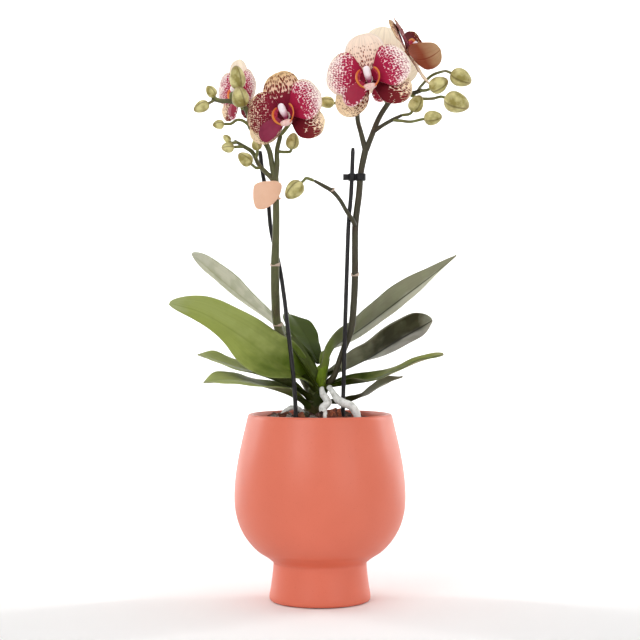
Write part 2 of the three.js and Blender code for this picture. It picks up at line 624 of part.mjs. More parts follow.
function tongue(direction, lipRise) {
  const { along, side } = turnedBy(direction);
  const rise = Math.tan(THREE.MathUtils.degToRad(lipRise));
  const surface = (u, v) => {
    const broadening = 0.48 + 0.52 * Math.sin(Math.min(v * 1.5, 1) * Math.PI / 2);
    const half = tongueHalfWidth * broadening * Math.sqrt(1 - 0.9 * v ** 5);
    return new THREE.Vector3()
      .addScaledVector(along, tongueStart + tongueLength * v)
      .addScaledVector(side, u * half)
      .setZ(5 + 4.4 * Math.sin(v * 2.4) + tongueLength * v * rise - 0.1 * half * u * u);
  };
  return blade(surface, () => 0.9, 3, 4);
}

function lip({ lip: direction, roll, lipRise }) {
  const crest = new THREE.SphereGeometry(1, 6, 3);
  crest.scale(4.8, 2.3, 2.5);
  crest.translate(0, -6.5, 5.6);
  return join([sideLobe(1), sideLobe(-1), tongue(direction - roll, lipRise), toSolid(crest)]);
}

function column() {
  const middle = [[0, -1.6, 2.4], [0, -1.2, 3.6], [0, 1.2, 6.2], [0, 4.4, 8.6], [0, 6.4, 9.4]];
  const points = middle.map(([x, y, z]) => new THREE.Vector3(x, y, z));
  const body = stalk(points, [1.7, 2, 2.5, 2.5, 1.1], 6, 5);
  const foot = new THREE.SphereGeometry(1, 5, 4);
  foot.scale(1.3, 1.5, 1);
  foot.translate(0, -3.3, 3.7);
  return join([body, toSolid(foot)]);
}

function flowerFrame({ at, yaw, pitch, roll, size }) {
  const [turn, rise] = [THREE.MathUtils.degToRad(yaw), THREE.MathUtils.degToRad(pitch)];
  const facing = new THREE.Vector3(Math.sin(turn) * Math.cos(rise), -Math.cos(turn) * Math.cos(rise),
    Math.sin(rise));
  const right = new THREE.Vector3(0, 0, 1).cross(facing).normalize();
  const above = facing.clone().cross(right);
  const frame = new THREE.Matrix4().makeBasis(right, above, facing);
  frame.multiply(new THREE.Matrix4().makeRotationZ(THREE.MathUtils.degToRad(roll)));
  frame.scale(new THREE.Vector3(size, size, size));
  frame.setPosition(seenAt(at));
  return frame;
}

// The plain blush tag, a soft rounded shield that a small ring holds on the left spike
const tagThickness = 0.9;
const tagPlace = { x: -36.8, z: 283.2 };
const tagRing = { at: [-30.8, 281, -8.5], radius: 4.3, height: 4 };
const tagOutline = [[-9.1, 7], [-6.6, 8.8], [0.4, 9.9], [6.8, 9.8], [9.8, 7.7], [9.8, 4.2],
  [7.2, -2.2], [1.6, -7.6], [-3.9, -9.9], [-7.8, -8.8], [-9.7, -3.9], [-9.9, 3.1]];

function tag() {
  const outline = new THREE.Shape(tagOutline.map(([x, y]) => new THREE.Vector2(x, y)));
  const plate = new THREE.ExtrudeGeometry(outline, { depth: tagThickness, bevelEnabled: false });
  plate.rotateX(Math.PI / 2);
  const ringMiddle = seenAt(tagRing.at);
  const middle = seenAt([tagPlace.x, tagPlace.z, tagRing.at[2] - tagRing.radius + 1.1]);
  plate.translate(middle.x, middle.y, middle.z);
  const ring = new THREE.CylinderGeometry(tagRing.radius, tagRing.radius, tagRing.height, 12);
  ring.rotateX(Math.PI / 2);
  ring.translate(ringMiddle.x, ringMiddle.y, ringMiddle.z);
  const { stem, stemRadii } = spikes.spike_left;
  return toSolid(plate).add(toSolid(ring)).subtract(rod(stem, grown(stemRadii), stemSides, stemSteps));
}

// The clip that ties the right spike to its stake: a ring round each, a web between and two grips
function stakeClip() {
  const height = 5;
  const stakeAt = seenAt([22.2, 296, -8.9]);
  const spikeAt = seenAt([28.4, 296, -9]);
  const rings = [[stakeAt, 2.7], [spikeAt, 3.7]].map(([centre, radius]) => {
    const ring = new THREE.CylinderGeometry(radius, radius, height, 10);
    ring.rotateX(Math.PI / 2);
    ring.translate(centre.x, centre.y, centre.z);
    return toSolid(ring);
  });
  const grips = [0.42, -0.42].map((turn) => {
    const grip = new THREE.BoxGeometry(5, 0.9, height * 0.8);
    grip.translate(-4, 0, 0);
    grip.rotateZ(turn);
    grip.translate(stakeAt.x, stakeAt.y, stakeAt.z);
    return toSolid(grip);
  });
  const web = new THREE.BoxGeometry(spikeAt.x - stakeAt.x, 3, height * 0.8);
  web.translate((spikeAt.x + stakeAt.x) / 2, stakeAt.y, stakeAt.z);
  const { stem, stemRadii } = spikes.spike_right;
  return join([...rings, ...grips, toSolid(web)])
    .subtract(rod(stem, grown(stemRadii), stemSides, stemSteps))
    .subtract(stakeRod(stakes.stake_right, stakeRadius + fitGap));
}

function stakeRod(points, radius) {
  return rod(points, evenRadii(points, radius), 6, points.length);
}

function rootRod({ points, radii }) {
  return rod(points, radii, 7, 10);
}

function crownRod(radii) {
  return rod(crown.points, radii, 10, 6);
}

// The stalk of a flower, up to the back of its hub
function flowerStalk({ stalk: route, size }, frame) {
  const axis = new THREE.Vector3().setFromMatrixColumn(frame, 2).normalize();
  const centre = new THREE.Vector3().setFromMatrixPosition(frame);
  const end = centre.clone().addScaledVector(axis, hubBack * size - fitGap);
  const before = end.clone().addScaledVector(axis, -5);
  return twig([...route.map(seenAt), before, end], 1.5, 1.45);
}

// All the pieces, in their places
const stakeHoles = Object.values(stakes).map((points) => stakeRod(points, stakeRadius + fitGap));
const rootHoles = Object.values(roots).map(({ points, radii }) => rootRod({ points, radii: grown(radii) }));
const plantHoles = join([...stakeHoles, ...rootHoles, crownRod(grown(crown.radii))]);
const bark = join([barkBody(), ...loosePieces.map(barkChip)]).subtract(plantHoles);

addPiece('ceramic_pot', ceramicPot(), colours.ceramic, 0.4);
addPiece('growing_pot', growingPot(), colours.growingPot, 0.5);
addPiece('bark', bark, colours.bark, 0.9);
addPiece('crown', crownRod(crown.radii), colours.stem, 0.6);
for (const [name, shape] of Object.entries(roots)) addPiece(name, rootRod(shape), colours.root, 0.6);
for (const [name, points] of Object.entries(stakes)) {
  addPiece(name, stakeRod(points, stakeRadius), colours.stake, 0.4);
}
addPiece('stake_clip', stakeClip(), colours.stake, 0.4);
for (const [name, shape] of Object.entries(leaves)) addPiece(name, leaf(shape), colours.leaf, 0.45);
for (const [name, shape] of Object.entries(spikes)) {
  const carried = Object.values(flowers).filter((flower) => flower.spike === name);
  const stalks = carried.map((flower) => flowerStalk(flower, flowerFrame(flower)));
  addPiece(name, spike(shape, stalks), colours.spike, 0.55);
}
for (const [name, flower] of Object.entries(flowers)) {
  const frame = flowerFrame(flower).toArray();
  addPiece(`${name}_tepals`, tepalWhorl(flower).transform(frame), colours.tepal, 0.5);
  addPiece(`${name}_lip`, lip(flower).transform(frame), colours.lip, 0.45);
  addPiece(`${name}_column`, column().transform(frame), colours.column, 0.4);
}
addPiece('tag', tag(), colours.tag, 0.5);

export default orchid;
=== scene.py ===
# A potted moth orchid of the small kind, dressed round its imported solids
import math
import random

import bmesh
import bpy
from mathutils import Matrix, Vector, noise


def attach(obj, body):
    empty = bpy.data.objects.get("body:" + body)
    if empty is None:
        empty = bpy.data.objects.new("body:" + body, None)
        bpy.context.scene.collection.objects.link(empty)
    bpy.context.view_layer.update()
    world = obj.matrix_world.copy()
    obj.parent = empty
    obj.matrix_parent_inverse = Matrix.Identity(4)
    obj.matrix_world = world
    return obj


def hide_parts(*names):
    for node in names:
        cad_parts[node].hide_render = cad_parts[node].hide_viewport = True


noise.seed_set(71)  # noise vectors would otherwise differ from run to run
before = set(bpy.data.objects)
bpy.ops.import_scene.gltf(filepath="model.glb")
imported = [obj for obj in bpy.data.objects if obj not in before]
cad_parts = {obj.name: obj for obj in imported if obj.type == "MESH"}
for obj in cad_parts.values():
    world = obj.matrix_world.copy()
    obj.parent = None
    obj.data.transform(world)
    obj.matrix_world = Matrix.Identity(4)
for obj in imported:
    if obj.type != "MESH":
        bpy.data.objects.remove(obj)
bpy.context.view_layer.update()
print("frame loaded,", len(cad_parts), "nodes")

mm = 0.001
eyeDistance = 1100  # from the photograph's camera to the middle of the pot, in mm
eyeHeight = 196
seenWidth = 448  # what the camera sees from side to side at the middle of the pot, in mm


def addCamera():
    lens = bpy.data.cameras.new("camera")
    lens.sensor_width = 36
    lens.lens = lens.sensor_width * eyeDistance / seenWidth
    lens.clip_end = 50
    camera = bpy.data.objects.new("camera", lens)
    camera.location = (0, -eyeDistance * mm, eyeHeight * mm)
    camera.rotation_euler = (math.pi / 2, 0, 0)
    bpy.context.scene.collection.objects.link(camera)
    bpy.context.scene.camera = camera


addCamera()


# Shape helpers. Shapes are made in millimetres and become metres in makePiece.

def placeMesh(name, bm, materials=()):
    mesh = bpy.data.meshes.new(name)
    bm.to_mesh(mesh)
    bm.free()
    for material in materials:
        mesh.materials.append(material)
    mesh.shade_smooth()
    placed = bpy.data.objects.new(name, mesh)
    bpy.context.scene.collection.objects.link(placed)
    return placed


def makePiece(name, bm, materials, nodes, sharpAngle=None):
    bmesh.ops.scale(bm, vec=(mm, mm, mm), verts=bm.verts)
    piece = placeMesh(name, bm, materials)
    if sharpAngle is not None:
        piece.data.set_sharp_from_angle(angle=math.radians(sharpAngle))
    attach(piece, "root")
    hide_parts(*nodes)
    return piece


def seenAt(point):
    # x and z as they look from the front in the plane of the pot, then the depth along +Y
    x, z, depth = point
    reach = (eyeDistance + depth) / eyeDistance
    return Vector((x * reach, depth, eyeHeight + (z - eyeHeight) * reach))


def seenLine(points):
    return [seenAt(point) for point in points]


def lerp(a, b, share):
    return a + (b - a) * share


def smoothstep(value, low, high):
    share = min(max((value - low) / (high - low), 0), 1)
    return share * share * (3 - 2 * share)


def listValue(values, share):
    place = min(max(share, 0), 1) * (len(values) - 1)
    before = min(int(place), len(values) - 2)
    return lerp(values[before], values[before + 1], place - before)


def curvePoint(points, share):
    # A centripetal curve through the points, with the same length of share between two of them
    last = len(points) - 1
    place = min(max(share, 0), 1) * last
    index = min(int(place), last - 1)
    weight = place - index
    here, there = points[index], points[index + 1]
    before = points[index - 1] if index > 0 else here * 2 - there
    after = points[index + 2] if index + 2 <= last else there * 2 - here
    steps = [max((b - a).length, 1e-8) ** 0.5 for a, b in ((before, here), (here, there), (there, after))]
    gap0, gap1, gap2 = steps
    leave = ((here - before) / gap0 - (there - before) / (gap0 + gap1) + (there - here) / gap1) * gap1
    arrive = ((there - here) / gap1 - (after - here) / (gap1 + gap2) + (after - there) / gap2) * gap1
    bend2 = -3 * here + 3 * there - 2 * leave - arrive
    bend3 = 2 * here - 2 * there + leave + arrive
    return here + leave * weight + bend2 * weight ** 2 + bend3 * weight ** 3


def curveTangent(points, share):
    low, high = max(share - 1e-4, 0), min(share + 1e-4, 1)
    return (curvePoint(points, high) - curvePoint(points, low)).normalized()


def addGrid(bm, across, along):
    # A flat grid from -1 to 1 both ways, whose UV map runs from 0 to 1
    bm.loops.layers.uv.verify()
    return bmesh.ops.create_grid(bm, x_segments=across, y_segments=along, size=1, calc_uvs=True)["verts"]


def facesOf(verts):
    return list({face for vert in verts for face in vert.link_faces})


def addBlade(bm, surface, thicknessAt, across, along, upperSlot=0, lowerSlot=0):
    # A thin blade: a flat sheet gets its two faces, then surface(u, v) bends it, with u from -1 to 1
    # across and v from 0 to 1 along
    verts = addGrid(bm, across, along)
    lowerFaces = facesOf(verts)
    edges = list({edge for face in lowerFaces for edge in face.edges})
    raised = bmesh.ops.extrude_face_region(bm, geom=lowerFaces + edges + verts, use_keep_orig=True)["geom"]
    upperVerts = [item for item in raised if isinstance(item, bmesh.types.BMVert)]
    upperFaces = [item for item in raised if isinstance(item, bmesh.types.BMFace)]
    bmesh.ops.translate(bm, vec=(0, 0, 1), verts=upperVerts)
    bmesh.ops.reverse_faces(bm, faces=lowerFaces)
    for face in facesOf(verts + upperVerts):
        face.material_index = upperSlot
    for face in lowerFaces:
        face.material_index = lowerSlot
    nudge = 1e-3
    for vert in verts + upperVerts:
        u, v, layer = vert.co.x, (vert.co.y + 1) / 2, vert.co.z - 0.5
        left, right = max(u - nudge, -1), min(u + nudge, 1)
        near, far = max(v - nudge, 0), min(v + nudge, 1)
        alongU = surface(right, v) - surface(left, v)
        alongV = surface(u, far) - surface(u, near)
        normal = alongU.cross(alongV).normalized()
        vert.co = surface(u, v) + normal * (layer * thicknessAt(u, v))
    return verts + upperVerts


def addTube(bm, points, radiusAt, sides, steps, slotIndex=0):
    # A round stalk through the points: a flat grid is rolled round them, welded and closed
    verts = addGrid(bm, sides, steps)
    frames = []
    normal = Vector((0.3, 0.9, 0.1))
    for step in range(steps + 1):
        tangent = curveTangent(points, step / steps)
        normal = (normal - tangent * normal.dot(tangent)).normalized()
        frames.append((curvePoint(points, step / steps), normal, normal.cross(tangent)))
    for vert in verts:
        share = (vert.co.y + 1) / 2
        middle, ahead, side = frames[round(share * steps)]
        turn = -vert.co.x * math.pi
        radius = radiusAt(share)
        if share < 1e-6 or share > 1 - 1e-6:
            radius *= 0.72  # the ends are a little narrower, so that they look rounded
        vert.co = middle + ahead * (math.cos(turn) * radius) + side * (math.sin(turn) * radius)
    faces = facesOf(verts)
    for face in faces:
        face.material_index = slotIndex
    bmesh.ops.remove_doubles(bm, verts=verts, dist=1e-5)
    faces = [face for face in faces if face.is_valid]
    openEdges = [edge for face in faces for edge in face.edges if edge.is_boundary]
    for face in bmesh.ops.holes_fill(bm, edges=openEdges, sides=0)["faces"]:
        face.material_index = slotIndex
        faces.append(face)
    bmesh.ops.recalc_face_normals(bm, faces=faces)
    return [vert for face in faces for vert in face.verts]


def spinOutline(bm, outline, steps, closed=False):
    # An outline of radius and height is turned once about +Z
    verts = [bm.verts.new((radius, 0, height)) for radius, height in outline]
    following = verts[1:] + verts[:1] if closed else verts[1:]
    edges = [bm.edges.new(pair) for pair in zip(verts, following)]
    bmesh.ops.spin(bm, geom=verts + edges, cent=(0, 0, 0), axis=(0, 0, 1), dvec=(0, 0, 0),
                   angle=2 * math.pi, steps=steps, use_merge=True)


def addTurned(bm, outline, steps, weld=1e-4):
    # A turned shape whose outline starts or ends on the axis, where it is welded
    spinOutline(bm, outline, steps)
    bmesh.ops.remove_doubles(bm, verts=bm.verts, dist=weld)
    bmesh.ops.recalc_face_normals(bm, faces=bm.faces)


# Material helpers

def fromHex(value):
    # An sRGB hex value as linear colour
    parts = [int(value[i:i + 2], 16) / 255 for i in (1, 3, 5)]
    return (*(p / 12.92 if p <= 0.04045 else ((p + 0.055) / 1.055) ** 2.4 for p in parts), 1)


def newMaterial(name):
    material = bpy.data.materials.new(name)
    material.use_nodes = True
    tree = material.node_tree
    return material, tree, tree.nodes["Principled BSDF"]


def setInputs(tree, node, links):
    # Inputs by name or number: each gets a value, an sRGB hex colour or the output of another node
    for key, value in links.items():
        if isinstance(value, bpy.types.NodeSocket):
            tree.links.new(value, node.inputs[key])
        else:
            node.inputs[key].default_value = fromHex(value) if isinstance(value, str) else value


def add(tree, kind, links, output=None, **settings):
    # Adds a node and gives the output that is named, or else its first
    node = tree.nodes.new("ShaderNode" + kind)
    for name, value in settings.items():
        setattr(node, name, value)
    setInputs(tree, node, links)
    return node.outputs[output] if output else next(socket for socket in node.outputs if socket.enabled)


def perMm(size):
    # The scale of a pattern on Object coordinates whose marks are this many millimetres
    return 1000 / size


def fromMiddle(tree, across):
    # How far a place lies from the middle line of a UV map, from 0 to 0.5
    offset = add(tree, "Math", {0: across, 1: 0.5}, operation="SUBTRACT")
    return add(tree, "Math", {0: offset}, operation="ABSOLUTE")


def streaksAlong(tree, flat, counts, detail, roughness=0.5):
    # Noise that is drawn out along a UV map
    drawn = add(tree, "Mapping", {"Vector": flat, "Scale": (*counts, 1)})
    return add(tree, "TexNoise", {"Vector": drawn, "Scale": 1.0, "Detail": detail, "Roughness": roughness})


def tinted(tree, colour, pattern, low, high):
    # The colour, multiplied by low to high as the noise pattern goes
    tint = add(tree, "MapRange", {"Value": pattern, "From Min": 0.35, "From Max": 0.65, "To Min": low,
                                  "To Max": high})
    return add(tree, "Mix", {0: 1.0, 6: colour, 7: tint}, data_type="RGBA", blend_type="MULTIPLY")


# Pot of glazed earthenware, cast in one colour with a satin glaze
potValues = {
    "colour": "#DF7359", "deeper": "#D5684D", "speck": "#C2593F",
    "cloud": 38, "speckSize": 0.9, "glazeWave": 2.4,
}


def satinGlazedEarthenware():
    # Fired clay under a satin glaze: soft wide highlights, faint clouds in the colour, a slightly waved skin
    material, tree, shader = newMaterial("satinGlazedEarthenware")
    place = add(tree, "TexCoord", {}, "Object")
    clouds = add(tree, "TexNoise", {"Vector": place, "Scale": perMm(potValues["cloud"]), "Detail": 3})
    specks = add(tree, "TexNoise", {"Vector": place, "Scale": perMm(potValues["speckSize"]), "Detail": 2})
    speckMask = add(tree, "MapRange", {"Value": specks, "From Min": 0.62, "From Max": 0.78, "To Max": 0.35})
    base = add(tree, "Mix", {0: clouds, 6: potValues["colour"], 7: potValues["deeper"]},
               data_type="RGBA")
    colour = add(tree, "Mix", {0: speckMask, 6: base, 7: potValues["speck"]}, data_type="RGBA")
    skin = add(tree, "TexNoise", {"Vector": place, "Scale": perMm(potValues["glazeWave"]), "Detail": 2})
    rough = add(tree, "MapRange", {"Value": clouds, "To Min": 0.36, "To Max": 0.46})
    bump = add(tree, "Bump", {"Height": skin, "Strength": 0.12, "Distance": 0.0003})
    setInputs(tree, shader, {"Base Color": colour, "Roughness": rough, "Normal": bump, "IOR": 1.5})
    return material


potOutline = {
    "bowl": [[32.7, 27.2], [37.4, 30.9], [44.2, 35.4], [51.3, 43.4], [56.2, 52.2], [59.2, 63], [59.9, 73],
             [59.2, 86], [57.2, 99.5], [54.8, 111], [52.2, 122], [50.9, 127.5]],
    "foot": [[0, 0], [30.8, 0], [32.2, 0.2], [33.6, 0.4], [34.7, 0.8], [35.2, 1.6], [35.4, 2.8], [35.2, 5],
             [34.3, 10], [33.4, 16.5], [32.8, 22.5], [32.6, 25.6]],
    "lip": [[50.45, 129.2], [49.9, 130.1], [49.1, 130.5], [47.7, 130.5], [46.7, 130.2], [46.2, 129.3]],
    "well": [[28.2, 27.5], [29.2, 10], [27.4, 6], [0, 5.4]],
    "wall": 4.6, "bowlSteps": 44, "turnSteps": 128,
}


def makePot(material):
    bowl = [Vector((radius, 0, height)) for radius, height in potOutline["bowl"]]
    steps = potOutline["bowlSteps"]
    outside = [curvePoint(bowl, i / steps) for i in range(steps + 1)]
    inside = []
    for i in range(1, steps):
        tangent = curveTangent(bowl, i / steps)
        inside.append(outside[i] + Vector((-tangent.z, 0, tangent.x)) * potOutline["wall"])
    inside.reverse()
    outline = [*potOutline["foot"], *((point.x, point.z) for point in outside), *potOutline["lip"],
               *((point.x, point.z) for point in inside), *potOutline["well"]]
    bm = bmesh.new()
    addTurned(bm, outline, potOutline["turnSteps"])
    makePiece("ceramicPot", bm, [material], ["ceramic_pot"])


makePot(satinGlazedEarthenware())
print("pot made")


# Growing pot of thin moulded plastic
growingPotValues = {
    "floor": 31.9, "top": 125.5, "floorRadius": 32.6, "topRadius": 44.4, "wall": 0.9,
    "holes": 5, "holeRadius": 3.2, "holeCircle": 20, "colour": "#2A2628",
}


def mouldedPolypropylene(name, colour, roughness, grain):
    # Moulded polypropylene: an even colour with a fine matt grain from the mould
    material, tree, shader = newMaterial(name)
    place = add(tree, "TexCoord", {}, "Object")
    marks = add(tree, "TexNoise", {"Vector": place, "Scale": perMm(grain), "Detail": 3})
    dusty = add(tree, "TexNoise", {"Vector": place, "Scale": perMm(grain * 14), "Detail": 4})
    light = tuple(min(part * 1.8 + 0.004, 1) for part in fromHex(colour)[:3])
    shade = add(tree, "Mix", {0: dusty, 6: colour, 7: (*light, 1)}, data_type="RGBA")
    rough = add(tree, "MapRange", {"Value": dusty, "To Min": roughness - 0.08, "To Max": roughness + 0.1})
    bump = add(tree, "Bump", {"Height": marks, "Strength": 0.15, "Distance": 0.0001})
    setInputs(tree, shader, {"Base Color": shade, "Roughness": rough, "Normal": bump, "IOR": 1.49,
                             "Specular IOR Level": 0.3})
    return material


def makeGrowingPot(material):
    v = growingPotValues
    wall, floor, top = v["wall"], v["floor"], v["top"]
    outline = [
        (0, floor), (v["floorRadius"] - 1, floor), (v["floorRadius"], floor + 0.8),
        (v["topRadius"] - 0.7, top - 5), (v["topRadius"] + 0.2, top - 4.9), (v["topRadius"] + 0.5,
                                                                             top - 4.6),
        (v["topRadius"] + 0.6, top - 0.3), (v["topRadius"] + 0.3, top), (v["topRadius"] - wall + 0.2, top),
        (v["topRadius"] - wall, top - 0.3), (v["topRadius"] - 0.7 - wall, top - 5.6),
        (v["floorRadius"] - wall, floor + wall), (0, floor + wall),
    ]
    bm = bmesh.new()
    addTurned(bm, outline, 72)
    pot = makePiece("growingPot", bm, [material], ["growing_pot"], sharpAngle=50)
    cutter = bmesh.new()
    for i in range(v["holes"]):
        turn = i / v["holes"] * 2 * math.pi
        x, y = v["holeCircle"] * math.cos(turn), v["holeCircle"] * math.sin(turn)
        place = Matrix.Translation((x, y, floor))
        bmesh.ops.create_cone(cutter, cap_ends=True, segments=20, radius1=v["holeRadius"],
                              radius2=v["holeRadius"], depth=6, matrix=place)
    cutDrainHoles(pot, cutter)


def cutDrainHoles(pot, cutter):
    bmesh.ops.scale(cutter, vec=(mm, mm, mm), verts=cutter.verts)
    mesh = bpy.data.meshes.new("drainHoles")
    cutter.to_mesh(mesh)
    cutter.free()
    holes = bpy.data.objects.new("drainHoles", mesh)
    bpy.context.scene.collection.objects.link(holes)
    cut = pot.modifiers.new("drainHoles", "BOOLEAN")
    cut.object = holes
    cut.operation = "DIFFERENCE"
    bpy.context.view_layer.update()
    shaped = bpy.data.meshes.new_from_object(pot.evaluated_get(bpy.context.evaluated_depsgraph_get()))
    pot.modifiers.clear()
    pot.data = shaped
    bpy.data.objects.remove(holes)


makeGrowingPot(mouldedPolypropylene("mouldedPolypropyleneMatt", growingPotValues["colour"], 0.5, 0.5))
print("growing pot made")


# Bark mulch with chips at all angles, bits of moss and dry root
barkValues = {
    "edgeHeight": 119, "mound": 9, "topRadius": 41.6, "floorRadius": 30.9, "lowest": 33.1,
    "chips": 190, "chipCircle": 38.5, "highest": 130, "potRadius": 44.4,
    "length": (7, 14), "width": (5, 9), "height": (3, 5.5),
    "damp": ("#2C1710", "#7A3A26", "#A8683F"), "split": ("#7C3C24", "#B4613E", "#CC8A62"),
    "dry": ("#6E625A", "#A39A90", "#D2CCC4"),
}


goldenAngle = 2.39996  # spreads the chips evenly


def barkSurface(x, y):
    reach = math.hypot(x, y) / barkValues["potRadius"]
    lumps = math.sin(x * 0.42 + 1) * math.cos(y * 0.37) + 0.6 * math.sin(x * 0.21 - y * 0.5)
    mound = barkValues["mound"] * math.cos(min(reach, 1) * math.pi / 2)
    return barkValues["edgeHeight"] + mound + 1.1 * lumps


def compostedPineBark(name, darkest, middle, lightest):
    # Composted pine bark: red-brown plates with dark layered edges, damp and quite matt
    material, tree, shader = newMaterial(name)
    place = add(tree, "TexCoord", {}, "Object")
    chance = add(tree, "NewGeometry", {}, "Random Per Island")
    layers = add(tree, "TexNoise", {"Vector": place, "Scale": perMm(2.2), "Detail": 5, "Roughness": 0.65})
    fibres = add(tree, "TexNoise", {"Vector": place, "Scale": perMm(0.8), "Detail": 4})
    tone = add(tree, "MapRange", {"Value": chance, "From Min": 0.35, "From Max": 1, "To Max": 0.85})
    warm = add(tree, "Mix", {0: tone, 6: darkest, 7: middle}, data_type="RGBA")
    edge = add(tree, "MapRange", {"Value": layers, "From Min": 0.5, "From Max": 0.68, "To Max": 0.6})
    colour = add(tree, "Mix", {0: edge, 6: warm, 7: lightest}, data_type="RGBA")
    dark = add(tree, "MapRange", {"Value": fibres, "From Min": 0.3, "From Max": 0.6, "To Min": 0.4,
                                  "To Max": 1})
    shaded = add(tree, "Mix", {0: 1.0, 6: colour, 7: dark}, data_type="RGBA", blend_type="MULTIPLY")
    height = add(tree, "Math", {0: layers, 1: fibres}, operation="ADD")
    bump = add(tree, "Bump", {"Height": height, "Strength": 0.8, "Distance": 0.0012})
    setInputs(tree, shader, {"Base Color": shaded, "Roughness": 0.82, "Normal": bump})
    return material


def feltedMoss():
    # Living cushion moss: short dense shoots that read as a soft green grain
    material, tree, shader = newMaterial("feltedMoss")
    place = add(tree, "TexCoord", {}, "Object")
    shoots = add(tree, "TexVoronoi", {"Vector": place, "Scale": perMm(0.9)})
    patches = add(tree, "TexNoise", {"Vector": place, "Scale": perMm(5), "Detail": 3})
    light = add(tree, "MapRange", {"Value": shoots, "From Max": 0.7, "To Min": 1, "To Max": 0})
    green = add(tree, "Mix", {0: light, 6: "#20280F", 7: "#59652C"}, data_type="RGBA")
    colour = add(tree, "Mix", {0: patches, 6: green, 7: "#3A3018"}, data_type="RGBA")
    bump = add(tree, "Bump", {"Height": light, "Strength": 0.9, "Distance": 0.0006})
    setInputs(tree, shader, {"Base Color": colour, "Roughness": 0.9, "Normal": bump, "Sheen Weight": 0.3})
    return material


def addChip(bm, draw, middle, size, turns, roughness):
    chip = bmesh.new()
    bmesh.ops.create_cube(chip, size=1)
    bmesh.ops.subdivide_edges(chip, edges=chip.edges, cuts=1, use_grid_fill=True)
    offset = Vector((draw.uniform(0, 90), draw.uniform(0, 90), draw.uniform(0, 90)))
    for vert in chip.verts:
        rough = noise.noise_vector(vert.co * 1.9 + offset) * roughness
        vert.co = vert.co * (1 - 0.16 * vert.co.z) + rough
    bmesh.ops.scale(chip, vec=size, verts=chip.verts)
    rotations = [Matrix.Rotation(angle, 3, axis) for angle, axis in zip(turns, "XYZ")]
    turn = rotations[2] @ rotations[1] @ rotations[0]
    bmesh.ops.rotate(chip, cent=(0, 0, 0), matrix=turn, verts=chip.verts)
    bmesh.ops.translate(chip, vec=middle, verts=chip.verts)
    mesh = bpy.data.meshes.new("chip")
    chip.to_mesh(mesh)
    chip.free()
    bm.from_mesh(mesh)
    bpy.data.meshes.remove(mesh)


def makeBark(materials, moss):
    v = barkValues
    draw = random.Random(71)
    bm = bmesh.new()
    outline = [(0, v["lowest"]), (v["floorRadius"], v["lowest"])]
    outline += [(v["topRadius"] * (1 - i / 16), v["edgeHeight"]) for i in range(17)]
    addTurned(bm, outline, 72)
    for vert in bm.verts:
        if vert.co.z > v["lowest"] + 1:
            height = barkSurface(vert.co.x, vert.co.y) - 2.2
            vert.co.z = height + 1.3 * noise.noise(vert.co * 0.35)
    for i in range(v["chips"]):
        radius = v["chipCircle"] * math.sqrt((i + 0.5) / v["chips"])
        turn = i * goldenAngle + draw.uniform(-0.2, 0.2)
        x, y = radius * math.cos(turn), radius * math.sin(turn)
        size = [draw.uniform(*v[key]) * (1 - 0.25 * (radius > 34)) for key in ("length", "width", "height")]
        turns = (draw.uniform(-0.5, 0.5), draw.uniform(-0.5, 0.5), draw.uniform(0, math.pi))
        height = barkSurface(x, y) - 0.8 + draw.uniform(-0.8, 1.2)
        addChip(bm, draw, (x, y, min(height, v["highest"])), size, turns, 0.22)
    for x, y, z, length, width, height in barkUpright:
        turns = (draw.uniform(-0.4, 0.4), draw.uniform(-0.4, 0.4), draw.uniform(0, math.pi))
        addChip(bm, draw, (x, y, z), (length, width, height), turns, 0.2)
    for x, y, z, length, width, height, slotIndex in barkPale:
        before = len(bm.faces)
        turns = (draw.uniform(-0.3, 0.3), draw.uniform(-0.6, 0.6), draw.uniform(-0.5, 0.5))
        addChip(bm, draw, (x, y, z), (length, width, height), turns, 0.24)
        bm.faces.ensure_lookup_table()
        for face in bm.faces[before:]:
            face.material_index = slotIndex
    makePiece("barkChips", bm, materials, ["bark"], sharpAngle=38)
    makeMoss(draw, moss)


# The chips that show over the rim: place, then length, width and height
barkUpright = [
    [-25, -19, 129, 13, 8, 6], [-31, -9, 127, 11, 8, 6], [9.5, -20, 130, 9, 7, 8], [-13, -25, 127, 12, 7,
                                                                                    5],
    [16, 22, 127, 12, 8, 6], [-10, 24, 128, 13, 9, 6], [-27, 14, 125, 12, 9, 6], [30, 6, 125, 12, 8, 6],
    [27, -14, 124, 10, 8, 5], [2, -31, 124, 12, 8, 5], [-3, 33, 122, 12, 7, 5],
]


# Split chips that show their paler inside: place, size and material
barkPale = [
    [10.6, -21, 130.4, 8, 5, 7.5, 1], [15, -27, 127.4, 8, 5, 4, 1], [-25, -22, 130.2, 9, 3, 3.6, 2],
    [-30, -14, 129.4, 8, 4, 3, 2], [-20, -26, 128.8, 7, 4, 3.4, 2], [-14, -24, 130.2, 6, 3.4, 4, 1],
    [21, -20, 127, 8, 5, 4, 1], [-4, -28, 127.6, 7, 5, 4, 2],
]


mossPlaces = [[-9, -9, 130, 5.5], [-15, -3, 129, 5], [-3, -13, 128.5, 4], [-12, 8, 129, 5], [6, 9, 128, 5],
              [-20, -13, 127.5, 3.4], [13, 3, 127, 4], [-4, 14, 127, 4.4], [-17, 9, 127.5, 3.6]]


def makeMoss(draw, material):
    bm = bmesh.new()
    for x, y, z, radius in mossPlaces:
        for i in range(5):
            turn = draw.uniform(0, 2 * math.pi)
            spread = radius * draw.uniform(0.1, 0.8)
            place = Matrix.Translation((x + spread * math.cos(turn), y + spread * math.sin(turn),
                                        z - spread * 0.3))
            lump = bmesh.ops.create_icosphere(bm, subdivisions=2, radius=radius * draw.uniform(0.35, 0.6),
                                              matrix=place)["verts"]
            for vert in lump:
                vert.co += noise.noise_vector(vert.co * 0.8) * 0.9
    makePiece("moss", bm, [material], ["bark"])


